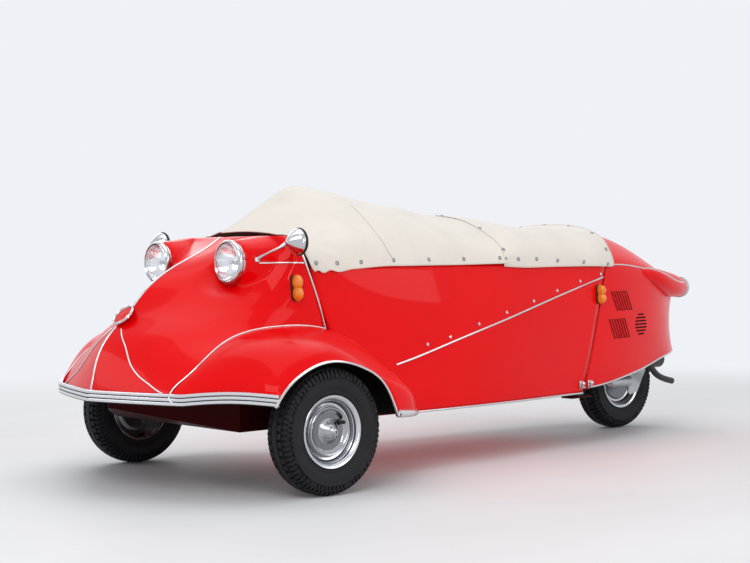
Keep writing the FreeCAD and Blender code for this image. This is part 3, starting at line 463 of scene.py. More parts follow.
class Shader:
    """One material's node tree, with short ways to add what most finishes need."""

    def __init__(self, name: str, base: Row, roughness: float, metallic: float = 0.0) -> None:
        """Starts a material.

        Args:
            name: the material's name.
            base: its plain colour.
            roughness: its plain roughness.
            metallic: 1 for bare metal.
        """
        self.material = bpy.data.materials.new(name)
        self.material.use_nodes = True
        self.tree = self.material.node_tree
        self.surface = self.tree.nodes["Principled BSDF"]
        self.set(Base_Color=(*base[:3], 1), Roughness=roughness, Metallic=metallic)
        self.where = self.node("TexCoord").outputs["Object"]

    def feed(self, socket: Socket, value: Value) -> None:
        """Links a socket to another one or sets its plain value.

        Args:
            socket: the input.
            value: what goes in.
        """
        if isinstance(value, Socket):
            self.tree.links.new(value, socket)
        else:
            socket.default_value = value

    def set(self, **values: Value) -> "Shader":
        """Feeds the surface's own sockets.

        Args:
            values: what goes into each, named with _ for a space.

        Returns:
            The shader itself.
        """
        for name, value in values.items():
            self.feed(self.surface.inputs[name.replace("_", " ")], value)
        return self

    def node(self, kind: str, *inputs: Value, **named: Value) -> bpy.types.Node:
        """Adds a node.

        Args:
            kind: its type, without the leading ShaderNode.
            inputs: what feeds its first sockets, in their order.
            named: what feeds sockets by name, with _ for a space.

        Returns:
            The node.
        """
        node = self.tree.nodes.new("ShaderNode" + kind)
        for socket, value in zip(node.inputs, inputs):
            self.feed(socket, value)
        for name, value in named.items():
            self.feed(node.inputs[name.replace("_", " ")], value)
        return node

    def stretched(self, scale: Row) -> Socket:
        """The place on the piece, scaled along each axis."""
        return self.node("Mapping", Vector=self.where, Scale=scale).outputs["Vector"]

    def noise(self, scale: float, detail: float = 3, where: Socket | None = None) -> Socket:
        """Cloudy noise, 0 to 1."""
        return self.node("TexNoise", Vector=where or self.where, Scale=scale, Detail=detail).outputs["Fac"]

    def waves(self, scale: float, along: str) -> Socket:
        """Adds even bands.

        Args:
            scale: how close they lie.
            along: the axis that they cross.

        Returns:
            A value from 0 to 1.
        """
        node = self.node("TexWave", Vector=self.where, Scale=scale, Distortion=0.0)
        node.bands_direction = along
        return node.outputs["Fac"]

    def sum_up(self, kind: str, a: Socket, b: Socket | float) -> Socket:
        """Adds a calculation.

        Args:
            kind: what it does, such as ADD or MULTIPLY.
            a: the first value.
            b: the second.

        Returns:
            The result.
        """
        node = self.node("Math", a, b)
        node.operation = kind
        return node.outputs[0]

    def blend(self, a: Socket, share_a: float, b: Socket, share_b: float) -> Socket:
        """Two values added, each by its share."""
        return self.sum_up("ADD", self.sum_up("MULTIPLY", a, share_a), self.sum_up("MULTIPLY", b, share_b))

    def ramp(self, value: Socket, stops: Sequence[tuple[float, Row]]) -> Socket:
        """Turns a value into colours.

        Args:
            value: what is looked up.
            stops: each value and its colour, rising.

        Returns:
            The colour's socket.
        """
        node = self.node("ValToRGB", Fac=value)
        for element, (place, colour) in zip(node.color_ramp.elements, stops):
            element.position = place
            element.color = (*colour[:3], 1)
        return node.outputs["Color"]

    def span(self, value: Socket, low: float, high: float) -> Socket:
        """Spreads a 0 to 1 value over low to high."""
        return self.node("MapRange", Value=value, To_Min=low, To_Max=high).outputs["Result"]

    def bump(self, height: Socket, strength: float, distance: float) -> "Shader":
        """Raises the surface by a value, over a distance in metres."""
        bump = self.node("Bump", Height=height, Strength=strength, Distance=distance)
        return self.set(Normal=bump.outputs["Normal"])


def shades(colour: Row, spread: float) -> list[tuple[float, Row]]:
    """Two stops, darker and paler than a colour by a share of it."""
    darker, paler = (tuple(min(1, c * level) for c in colour) for level in (1 - spread, 1 + spread))
    return [(0.3, darker), (0.7, paler)]


@dataclass(frozen=True)
class Enamel:
    """Gloss car enamel under lacquer, with a faint orange-peel skin."""

    name: str
    colour: Row
    roughness: float = 0.3
    coat: float = 0.22

    def make(self) -> Material:
        """Builds the material.

        Returns:
            The material.
        """
        s = Shader(self.name, self.colour, self.roughness)
        s.set(Base_Color=s.ramp(s.noise(2.2), shades(self.colour, 0.05)),
              Roughness=s.span(s.noise(14), self.roughness * 0.85, self.roughness * 1.25),
              Coat_Weight=self.coat, Coat_Roughness=0.03,
              Specular_IOR_Level=0.22, Specular_Tint=(*self.colour[:3], 1))
        return s.bump(s.noise(420, 1), 0.05, 0.0004).material


@dataclass(frozen=True)
class Metal:
    """Bare or plated metal with faint handling marks."""

    name: str
    colour: Row
    roughness: float
    grain: Row = (1, 1, 1)
    grain_scale: float = 60
    depth: float = 0.02

    def make(self) -> Material:
        """Builds the material.

        Returns:
            The material.
        """
        s = Shader(self.name, self.colour, self.roughness, metallic=1.0)
        marks = s.noise(self.grain_scale, 4, s.stretched(self.grain))
        s.set(Base_Color=s.ramp(marks, shades(self.colour, 0.06)))
        s.set(Roughness=s.span(marks, self.roughness * 0.7, self.roughness * 1.4))
        return s.bump(marks, self.depth, 0.0006).material


@dataclass(frozen=True)
class Canvas:
    """Plain-woven cotton: a fine over-and-under weave, soft mottling and a dry sheen."""

    name: str
    colour: Row
    threads_per_mm: float = 1.1

    def make(self) -> Material:
        """Builds the material.

        Returns:
            The material.
        """
        s = Shader(self.name, self.colour, 0.92)
        pitch = self.threads_per_mm * 1000 / (2 * math.pi)
        weave = s.sum_up("MULTIPLY", s.waves(pitch, "Y"), s.waves(pitch, "Z"))
        slub = s.noise(900, 3, s.stretched((1, 0.15, 1)))
        mottle = s.noise(7, 5)
        s.set(Base_Color=s.ramp(s.blend(mottle, 0.8, slub, 0.2), shades(self.colour, 0.055)),
              Sheen_Weight=0.25, Sheen_Roughness=0.5, Specular_IOR_Level=0.2)
        return s.bump(s.blend(weave, 0.5, slub, 0.6), 0.35, 0.0006).material


@dataclass(frozen=True)
class Rubber:
    """Tyre or moulding rubber: dull, slightly dusty, with a fine grain."""

    name: str
    colour: Row
    roughness: float = 0.62

    def make(self) -> Material:
        """Builds the material.

        Returns:
            The material.
        """
        s = Shader(self.name, self.colour, self.roughness)
        dust = s.noise(18, 5)
        dusty = tuple(c * 1.9 for c in self.colour)
        s.set(Base_Color=s.ramp(dust, [(0.35, self.colour), (0.75, dusty)]))
        s.set(Roughness=s.span(dust, self.roughness * 0.8, self.roughness * 1.2))
        s.set(Specular_IOR_Level=0.22)
        return s.bump(s.noise(700, 2), 0.15, 0.0005).material


@dataclass(frozen=True)
class Lens:
    """Clear or coloured lamp lens with moulded flutes."""

    name: str
    colour: Row
    transmission: float
    flutes: float
    along: str = "Z"
    roughness: float = 0.06

    def make(self) -> Material:
        """Builds the material.

        Returns:
            The material.
        """
        s = Shader(self.name, self.colour, self.roughness)
        s.set(Base_Color=s.ramp(s.noise(30), shades(self.colour, 0.04)))
        s.set(Transmission_Weight=self.transmission, IOR=1.45, Coat_Weight=0.6, Coat_Roughness=0.03)
        return s.bump(s.waves(self.flutes, self.along), 0.35, 0.001).material


@dataclass(frozen=True)
class Satin:
    """Satin paint on steel, with a little dust in it."""

    name: str
    colour: Row
    roughness: float = 0.45
    shine: float = 0.4

    def make(self) -> Material:
        """Builds the material.

        Returns:
            The material.
        """
        s = Shader(self.name, self.colour, self.roughness)
        dust = s.noise(25, 5)
        dusty = tuple(c * 1.6 + 0.01 * self.shine for c in self.colour)
        s.set(Base_Color=s.ramp(dust, [(0.35, self.colour), (0.8, dusty)]))
        s.set(Roughness=s.span(dust, self.roughness * 0.8, self.roughness * 1.3))
        s.set(Specular_IOR_Level=self.shine)
        return s.bump(s.noise(260, 2), 0.08, 0.0004).material


class Stock:
    """The car's finishes, each made once."""

    def __init__(self) -> None:
        """Makes all the materials."""
        self.red = Enamel("signal_red_enamel", (0.80, 0.0008, 0.0025)).make()
        # red darkened almost to black: painted shade for the belly pan, the mudguards' insides and the
        # jacking plates
        self.red_shaded = Enamel("red_painted_shade", (0.035, 0.0016, 0.0022), 0.5, 0.05).make()
        self.dark = Satin("shadow_black", (0.006, 0.004, 0.004), 0.7, 0.04).make()
        self.black = Satin("chassis_black", (0.022, 0.022, 0.023)).make()
        self.canvas = Canvas("cream_canvas", (0.80, 0.745, 0.67)).make()
        self.binding = Canvas("cover_binding", (0.72, 0.665, 0.585), 1.6).make()
        self.thread = Canvas("seam_thread", (0.50, 0.45, 0.38), 1.6).make()
        self.tyre = Rubber("tyre_rubber", (0.0095, 0.0095, 0.011)).make()
        self.seal = Rubber("black_seal", (0.02, 0.02, 0.02), 0.5).make()
        self.chrome = Metal("chrome_plate", (0.56, 0.565, 0.58), 0.06).make()
        self.bright = Metal("bright_trim", (0.66, 0.65, 0.65), 0.16, (1, 0.2, 1), 90).make()
        self.strip = Metal("ribbed_aluminium", (0.70, 0.71, 0.73), 0.24, (0.06, 0.06, 3), 160, 0.12).make()
        self.wheel = Metal("wheel_silver", (0.58, 0.59, 0.62), 0.22, (1, 1, 1), 40).make()
        # silver disc darkened to a dull grey: painted dark reflection in the dish
        self.disc = Metal("wheel_disc_painted_reflection", (0.20, 0.205, 0.22), 0.3, (1, 1, 1), 40).make()
        self.cap = Metal("polished_cap", (0.40, 0.405, 0.42), 0.16, (1, 1, 1), 60).make()
        self.stud = Metal("worn_studs", (0.30, 0.30, 0.31), 0.2).make()
        self.mirror = Metal("silvered_glass", (0.86, 0.88, 0.9), 0.02, depth=0.0).make()
        self.cast = Metal("cast_alloy", (0.48, 0.49, 0.51), 0.42, (1, 1, 1), 130, 0.25).make()
        self.glass = Lens("fluted_glass", (0.96, 0.97, 0.98), 1.0, 34, "X", 0.02).make()
        self.amber = Lens("amber_lens", (1.0, 0.27, 0.006), 0.12, 75).make()
        self.ruby = Lens("ruby_lens", (0.55, 0.01, 0.01), 0.3, 70).make()


# ------------------------------------------------------------------ body lines


def post_y(height: float) -> float:
    """Where the leaning screen post line lies."""
    return FRONT + 111 - 0.366 * (height - WAIST)


def seam_y(height: float) -> float:
    """Where the tail's seam lies: leaning up to the waist, upright above it."""
    return REAR - 419 + 0.33 * (min(height, WAIST) - WAIST)


def clamped(value: float) -> float:
    """A value held between 0 and 1."""
    return min(max(value, 0), 1)


def relaxed(line: np.ndarray, rounds: int, pull: float) -> None:
    """Draws a line's inner points towards their neighbours' middle, time after time."""
    for _ in range(rounds):
        line[1:-1] += pull * ((line[:-2] + line[2:]) / 2 - line[1:-1])


def step(low: float, high: float, value: np.ndarray) -> np.ndarray:
    """Smooth step from 0 at low to 1 at high."""
    share = np.clip((value - low) / (high - low), 0, 1)
    return share * share * (3 - 2 * share)


@dataclass
class Nose:
    """Nose shell from its hem to the cowl, in one curved skin that swells round each headlamp."""

    finish: Material
    arc_points: int = 60
    side_points: int = 16
    rows: int = 96
    sections: Rows = (
        # height, prow y, flank x, flank y, side x, side y
        (292, -508, 184, -463, 353, -408),
        (325, -501, 184, -458, 353, -402),
        (364, -492, 184, -444, 351, -374),
        (405, -482, 184, -424, 350, -333),
        (453, -462, 184, -389, 349, -262),
        (500, -427, 184, -338, 348, -160),
        (560, -364, 184, -248, 350, -78),
        (640, -288, 180, -142, 350, 0),
        (710, -178, 182, -78, 346, 40),
        (765, -60, 190, -25, 330, 60),
        (805, 4, 150, 6, 282, 30),
    )
    bowl_front: float = -98
    bowl_opening: float = 61  # radius about each lamp that is cut out of the skin
    bowl_depth: float = -40  # how far back the cut goes
    nacelle: tuple[float, float] = (66, 90)  # radii about the lamp where the skin leaves the bowl
    dish: tuple[float, float] = (66, 112)
    cowl_back: tuple[float, float] = (40, 78)

    def plan(self, row: np.ndarray) -> np.ndarray:
        """Draws one level line of the left half.

        Args:
            row: one row of the sections.

        Returns:
            Places from the prow back to the screen post.
        """
        height, prow, flank_x, flank_y, side_x, side_y = row
        face = arc_through((0, prow), (flank_x, flank_y), (side_x, side_y), self.arc_points)
        back = np.array((side_x - 3, post_y(height) - FRONT - 12))
        share = np.linspace(0, 1, self.side_points + 1)[1:, None]
        line = np.concatenate([face, face[-1] + (back - face[-1]) * share])
        relaxed(line, int(200 * clamped((height - 500) / 70)), 0.45)
        level = np.full((len(line), 1), height)
        return np.concatenate([line + (0, FRONT), level], axis=1)

    def swell(self, points: np.ndarray) -> None:
        """Brings the skin up to each headlamp's bowl: a nacelle above and outside it, a soft dish below.

        Args:
            points: the skin's places, which move.
        """
        reach = np.hypot(points[..., 0] - LAMP_X, points[..., 2] - LAMP_Z)
        front = FRONT + self.bowl_front
        ahead = points[..., 1] < front
        weight = np.where(ahead, 1 - step(*self.dish, reach), 1 - step(*self.nacelle, reach))
        points[..., 1] += weight * (front - points[..., 1])

    def build(self) -> Surface:
        """Makes the shell.

        Returns:
            Its surface, for trim.
        """
        table = np.array(self.sections, float)
        heights = np.linspace(table[0, 0], table[-1, 0], self.rows)
        levels = spline(table[:, 0], table, heights)
        grid = np.array([self.plan(row) for row in levels])
        self.swell(grid)
        cowl_front, cowl_rear = self.cowl_back
        cowl = grid[-1].copy()
        cowl[:, 1] = np.maximum(cowl[:, 1] + 30, FRONT + cowl_front)
        cowl[:, 2] -= 1
        rear = cowl.copy()
        rear[:, 1] = FRONT + cowl_rear
        rear[:, 2] -= 6
        bm = whole_skin(np.array([*grid, cowl, rear]), (0, FRONT + 100, 400))
        surface = Surface(bm)
        self.open_for_lamps(bm)
        keep(bm, "nose_skin", self.finish, BODY, sharp=60, sheet=3, stands_for=["nose_shell"])
        return surface

    def open_for_lamps(self, bm: Mesh) -> None:
        """Takes the skin away where it would stand inside a headlamp's bowl.

        Args:
            bm: the skin.
        """
        gone = []
        for face in bm.faces:
            x, y, z = face.calc_center_median() / MM
            within = math.hypot(abs(x) - LAMP_X, z - LAMP_Z) < self.bowl_opening
            if within and y < FRONT + self.bowl_depth:
                gone.append(face)
        bmesh.ops.delete(bm, geom=gone, context="FACES")


@dataclass
class Fenders:
    """The two winged front mudguards."""

    finish: Material
    bead_finish: Material
    foot_finish: Material
    # the mudguards' insides: red darkened as painted shade
    lining: Material
    steps: int = 60
    columns: int = 34
    sections: Rows = (
        # x, front y, crown y, crown z, rear y, front bulge y, z, rear bulge y, z, rear hem
        (322, -419, -50, 516, 476, -262, 452, 292, 456, 212),
        (345, -409, -45, 515, 470, -270, 453, 285, 455, 212),
        (388, -380, -42, 512, 462, -272, 451, 276, 449, 212),
        (440, -342, -36, 506, 428, -258, 442, 258, 435, 215),
        (520, -284, -22, 484, 374, -216, 422, 230, 405, 219),
        (585, -237, -10, 448, 312, -174, 392, 199, 363, 223),
    )
    girth: Row = (0, 23, 66, 118, 199, 266, 308)  # where each section and the rim lie along the girth
    rim_x: float = 606.0
    arch_centre: tuple[float, float] = (-9, 141)
    arch_radius: float = 275
    arch_angles: Row = (147, 136, 116, 91, 62, 36, 18.6)
    strip_foot: float = 293
    strip_head: float = 328
    strip_from: float = 353
    strip_length: float = 251
    strip_rise: float = 11
    heel_flare: float = 48
    heel_taper: float = 0.19
    body_x: float = 400
    front_steps: int = 14  # steps of a section below the joint that runs up from the strip

    def profile(self, row: Row) -> np.ndarray:
        """Draws one lengthwise section.

        Args:
            row: one row of the sections.

        Returns:
            Evenly stepped (y, z).
        """
        x, front, crown_y, crown_z, rear, front_y, front_z, rear_y, rear_z, hem = row
        rise = self.strip_rise * math.sin(math.pi * clamped((x - self.strip_from) / self.strip_length))
        flare = self.heel_flare - self.heel_taper * max(x - self.body_x, 0)
        corners = [(front, self.strip_foot + rise), (front, self.strip_head), (front_y, front_z),
                   (crown_y, crown_z), (rear_y, rear_z), (rear + 10, hem + 60), (rear + flare, hem)]
        return self.timed(np.array(corners, float))

    def timed(self, corners: np.ndarray) -> np.ndarray:
        """A smooth line through the corners with the same share of steps between each pair."""
        return spline((0, 0.09, 0.27, 0.5, 0.74, 0.92, 1), corners, np.linspace(0, 1, self.steps))

    def arch(self) -> np.ndarray:
        """Draws the wheel opening's edge.

        Returns:
            (y, z), stepped as the sections are.
        """
        y, z = self.arch_centre
        angles = np.radians(self.arch_angles)
        reach = self.arch_radius * np.array((1, 1, 1, 1, 1, 1, 0.988))
        return self.timed(np.stack([y + reach * np.cos(angles), z + reach * np.sin(angles)], 1))

    def joint(self, points: np.ndarray, nose: Surface) -> list[Vector]:
        """Finds where the mudguard comes out of the nose.

        Args:
            points: the mudguard's places.
            nose: the nose's surface.

        Returns:
            Places from the front strip to the back.
        """
        places = []
        for count in range(points.shape[1]):
            before = None
            for spot in points[:, count]:
                depth = spot[0] - nose.side(spot[1], spot[2]).x
                if depth > 0:
                    if before is None and count < self.front_steps:
                        places.append(Vector(spot))
                    if before is not None:
                        share = before[1] / (before[1] - depth)
                        places.append(Vector(before[0] + (spot - before[0]) * share))
                    break
                before = (spot, depth)
        return places

    def build(self, nose: Surface) -> None:
        """Makes both mudguards, their beads, their joints and their heel strips.

        Args:
            nose: the nose's surface.
        """
        lines = [(row[0], self.profile(row)) for row in self.sections] + [(self.rim_x, self.arch())]
        lines = [np.concatenate([np.full((self.steps, 1), x), line], 1) for x, line in lines]
        points = spline(self.girth, np.array(lines), np.linspace(0, self.girth[-1], self.columns))
        points[:, :, 0] = np.minimum(points[:, :, 0], self.rim_x)
        points[:, :, 1] += FRONT
        bm = panel(points)
        face_outwards(bm, Vector((400, FRONT, 200)) * MM)
        bead = rod_mesh(points[-1] + (0.5, 0, 0), 4.2)
        for side in SIDES:
            keep(on_its_side(bm, side), f"fender_skin_{side}", self.finish, BODY, sharp=60, sheet=2.5,
                 stands_for=[f"fender_{side}"], lining=self.lining)
            keep(on_its_side(bead, side), f"arch_bead_{side}", self.bead_finish, BODY)
        proud = Vector((1.0, -1.0, 1.2))
        crease = smooth_path([tuple(p + proud) for p in self.joint(points, nose)[::3]], 90)
        heel = [p for p in points[::-1, -1] + (0, 1, 9) if p[0] > 372]
        foot = rod_mesh(heel, list(np.linspace(13, 6, len(heel))), 3)
        keep(both_sides(rod_mesh(crease, 2.7)), "fender_piping", self.bead_finish, BODY, sharp=60)
        keep(both_sides(foot), "fender_heel_strip", self.foot_finish, BODY, sharp=60)


@dataclass
class Tub:
    """Cockpit tub: floor, rounded sills and gently bulged sides."""

    finish: Material
    rows: int = 70
    floor: float = 201.0
    corner: float = 16.0
    levels: Row = (209.0, 434.5, WAIST)  # heights of the sill, the bulge and the waist
    sections: Rows = (
        # y, sill x, bulge x, waist x
        (FRONT + 50, 362, 352, 343),
        (FRONT + 520, 376, 374, 348),
        (REAR - 1027, 372, 369, 342),
        (REAR - 567, 332, 336, 322),
        (REAR - 380, 322, 325, 312),
    )

    def across(self, y: float, height: float) -> float:
        """Works out the half width.

        Args:
            y: place along the tub.
            height: place up its side.

        Returns:
            The half width there, on the parabola through the section's three.
        """
        table = np.array(self.sections, float)
        sill, bulge, waist = spline(table[:, 0], table[:, 1:], np.array([y]))[0]
        low, mid, high = self.levels
        return (sill * (height - mid) * (height - high) / ((low - mid) * (low - high))
                + bulge * (height - low) * (height - high) / ((mid - low) * (mid - high))
                + waist * (height - low) * (height - mid) / ((high - low) * (high - mid)))

    def outline(self) -> list[tuple[float, float, float]]:
        """Draws the section from the floor's middle up to the lip.

        Returns:
            Each point's share of the half width, what is taken off it and the height.
        """
        line = [(0.0, 0.0, self.floor), (0.6, 0.0, self.floor)]
        for angle in np.radians(np.linspace(0, 90, 6)):
            less, rise = self.corner * (1 - math.sin(angle)), self.corner * (1 - math.cos(angle))
            line.append((1.0, less, self.floor + rise))
        line += [(1.0, 0.0, height) for height in np.linspace(240, WAIST, 26)]
        return line + [(1.0, 3.0, 702.0), (1.0, 12.0, 702.0), (1.0, 14.0, 690.0)]

    def build(self) -> Surface:
        """Makes the tub.

        Returns:
            Its surface.
        """
        grid = []
        for along in np.linspace(0, 1, self.rows):
            line = []
            for share, less, height in self.outline():
                start = post_y(height) - 10 + 8 * clamped((height - 620) / 75)
                y = start + (seam_y(height) - SEAM_GAP / 2 - start) * along
                line.append((share * self.across(y, min(height, WAIST)) - less, y, height))
            grid.append(line)
        bm = whole_skin(np.array(grid), (0, FRONT + 900, 500))
        surface = Surface(bm)
        keep(bm, "tub_skin", self.finish, BODY, sharp=50, sheet=3, stands_for=["cabin_tub"])
        return surface


@dataclass
class Tail:
    """Lifting tail: tapering skin, lamp pods and pressed louvres."""

    finish: Material
    shadow: Material
    rows: int = 70
    sections: Rows = (
        # y, hem x, hem z, flank x, waist x, waist z, crown z
        (-600, 336, 215, 335, 324, 694, 862),
        (-460, 326, 226, 329, 318, 693, 852),
        (-327, 314, 244, 317, 309, 690, 838),
        (-160, 288, 271, 291, 284, 674, 809),
        (0, 250, 300, 249, 246, 643, 747),
        (140, 194, 315, 180, 190, 606, 693),
        (225, 134, 319, 116, 140, 586, 658),
        (250, 114, 319, 93, 118, 582, 647),
    )
    banks: Rows = (
        # middle y, middle height, length, lean in degrees
        (-325, 548, 87, 27.5),
        (-345, 440, 86, 25),
    )
    louvres: int = 7
    pitch: float = 17.3
    slot_width: float = 9.5
    grille: Row = (-184, 450, 45)  # middle y, middle height, radius
    bars: int = 7
    bar_pitch: float = 13
    bar_width: float = 7.0
    start: float = -400
    end: float = 250.0
    closing: Rows = ((0.97, 4), (0.9, 7.5), (0.75, 10), (0.4, 11.5), (0.0, 12))  # size, set back
    closing_height: float = 470
    pod: Rows = (
        # x, y, height, radius
        (272, -220, 668, 3),
        (264, -150, 655, 20),
        (258, -90, 645, 30),
        (250, -40, 634, 37),
        (236, 20, 620, 43),
        (216, 80, 607, 48),
        (196, 145, 597, 48),
        (176, 205, 590, 43),
        (160, 250, 588, 38),
    )
    worked_out: dict[float, np.ndarray] = field(default_factory=dict)

    def section(self, y: float) -> np.ndarray:
        """Draws the left half of one cross section.

        Args:
            y: place from the rear axle.

        Returns:
            (x, z) from the hem to the crown.
        """
        table = np.array(self.sections, float)
        row = spline(table[:, 0], table[:, 1:], np.array([y]))[0]
        hem_x, hem_z, flank_x, waist_x, waist_z, crown = row
        rise = np.linspace(0, 1, 30)
        width = (hem_x * (2 * rise - 1) * (rise - 1) + flank_x * 4 * rise * (1 - rise)
                 + waist_x * rise * (2 * rise - 1))
        side = np.stack([width, hem_z + (waist_z - hem_z) * rise], 1)
        top = arc_through((waist_x, waist_z), (0, crown), (-waist_x, waist_z), 49)[:25]
        line = np.concatenate([side, top[1:]])
        relaxed(line, 6, 0.5)
        line[-1, 0] = 0
        return line

    def rows_of_skin(self) -> np.ndarray:
        """Draws the skin from the leaning seam to the closed end.

        Returns:
            Places as rows by columns by three.
        """
        grid = []
        for share in np.linspace(0, 1, self.rows):
            base = self.section(self.start + (self.end - self.start) * share)
            line = []
            for column in range(len(base)):
                height = base[column, 1]
                for _ in range(5):  # the seam leans, so the row and its height are found together
                    start = seam_y(height) + SEAM_GAP / 2 - REAR
                    y = start + (self.end - start) * share
                    height = self.at(y)[column, 1]
                line.append((self.at(y)[column, 0], y + REAR, height))
            grid.append(line)
        last = np.array(grid[-1])
        centre = np.array((0, last[0, 1], self.closing_height))
        for shrink, back in self.closing:
            ring = centre + (last - centre) * shrink
            ring[:, 1] = last[0, 1] + back
            grid.append(ring.tolist())
        return np.array(grid)

    def build(self) -> Surface:
        """Makes the skin with its pods, louvres and grille.

        Returns:
            The surface of the skin with its pods.
        """
        bm = whole_skin(self.rows_of_skin(), (0, REAR, 500), join=0.02)
        pod = self.pod_mesh()
        self.vents(Surface(bm))
        surface = Surface(merge([bm.copy(), pod.copy()]))
        keep(bm, "tail_skin", self.finish, TAIL_BODY, sharp=50, sheet=3, stands_for=["tail_cover"])
        for side in SIDES:
            keep(on_its_side(pod, side), f"lamp_pod_{side}", self.finish, TAIL_BODY, sharp=60)
        return surface

    def at(self, y: float) -> np.ndarray:
        """Gives a cross section, kept once worked out.

        Args:
            y: place from the rear axle.

        Returns:
            (x, z) from the hem to the crown.
        """
        key = round(y, 1)
        if key not in self.worked_out:
            self.worked_out[key] = self.section(key)
        return self.worked_out[key]

    def pod_mesh(self) -> Mesh:
        """Makes the left fin, which swells out of the corner and carries the tail lamp.

        Returns:
            The mesh.
        """
        rings = []
        for x, y, z, radius in smooth_path(self.pod, 34):
            angles = np.linspace(0, 2 * math.pi, 49)
            rings.append([(x + radius * math.cos(a), y + REAR, z + radius * math.sin(a)) for a in angles])
        bm = panel(np.array(rings))
        bmesh.ops.remove_doubles(bm, verts=bm.verts, dist=1e-5)
        bmesh.ops.holes_fill(bm, edges=[e for e in bm.edges if e.is_boundary])
        face_outwards(bm, centre_of(bm))
        return bm

    def slot_lines(self) -> list[np.ndarray]:
        """Lays out the slots of both banks and of the grille on the left side.

        Returns:
            Each slot's middle line, as (y, height).
        """
        lines = []
        for bank_y, bank_z, length, lean in self.banks:
            slope = math.tan(math.radians(lean))
            half = length * math.cos(math.radians(lean)) / 2
            drops = np.linspace(half, -half, 12)
            for index in range(self.louvres):
                y = REAR + bank_y + (index - (self.louvres - 1) / 2) * self.pitch
                lines.append(np.array([(y - drop * slope, bank_z + drop) for drop in drops]))
        grille_y, grille_z, radius = self.grille
        for index in range(self.bars):
            offset = (index - (self.bars - 1) / 2) * self.bar_pitch
            half = math.sqrt(radius ** 2 - offset ** 2)
            places = np.linspace(-half, half, 12)
            lines.append(np.array([(REAR + grille_y + place, grille_z + offset) for place in places]))
        return lines

    def vents(self, surface: Surface) -> None:
        """Makes pressed louvres in two banks and a round grille of level slots, both sides; each slot's
        opening is a dark sheet of painted shade.

        Args:
            surface: the skin that they lie on.
        """
        shaded_slots, blades = [], []
        for line in self.slot_lines():
            level = abs(line[0][1] - line[-1][1]) < 1
            width = self.bar_width if level else self.slot_width
            across = np.array((0.0, 1.0) if level else (1.0, 0.0))
            sides = []
            for share in (-0.5, 0.0, 0.5):
                sides.append([surface.side(*(spot + across * width * share), 0.5) for spot in line])
            # each slot is a dark sheet laid on the skin: painted shade for the opening
            shaded_slot = panel(np.array(sides))
            face_outwards(shaded_slot, Vector((0, line[0][0], line[0][1])) * MM)
            shaded_slots.append(shaded_slot)
            hood = [surface.side(*(spot - across * (width * 0.5 + 0.6)), -0.4) for spot in line]
            taper = [0.3] + [1.0] * (len(line) - 2) + [0.3]
            blades.append(rod_mesh(hood, [2.2 * t for t in taper], 3))
        shapes = (("vent_slot_shade", merge(shaded_slots), self.shadow), ("vent_blades", merge(blades), self.finish))
        for side in SIDES:
            for kind, shape, finish in shapes:
                keep(on_its_side(shape, side), f"{kind}_{side}", finish, TAIL_BODY)


# ------------------------------------------------------------------ cloth


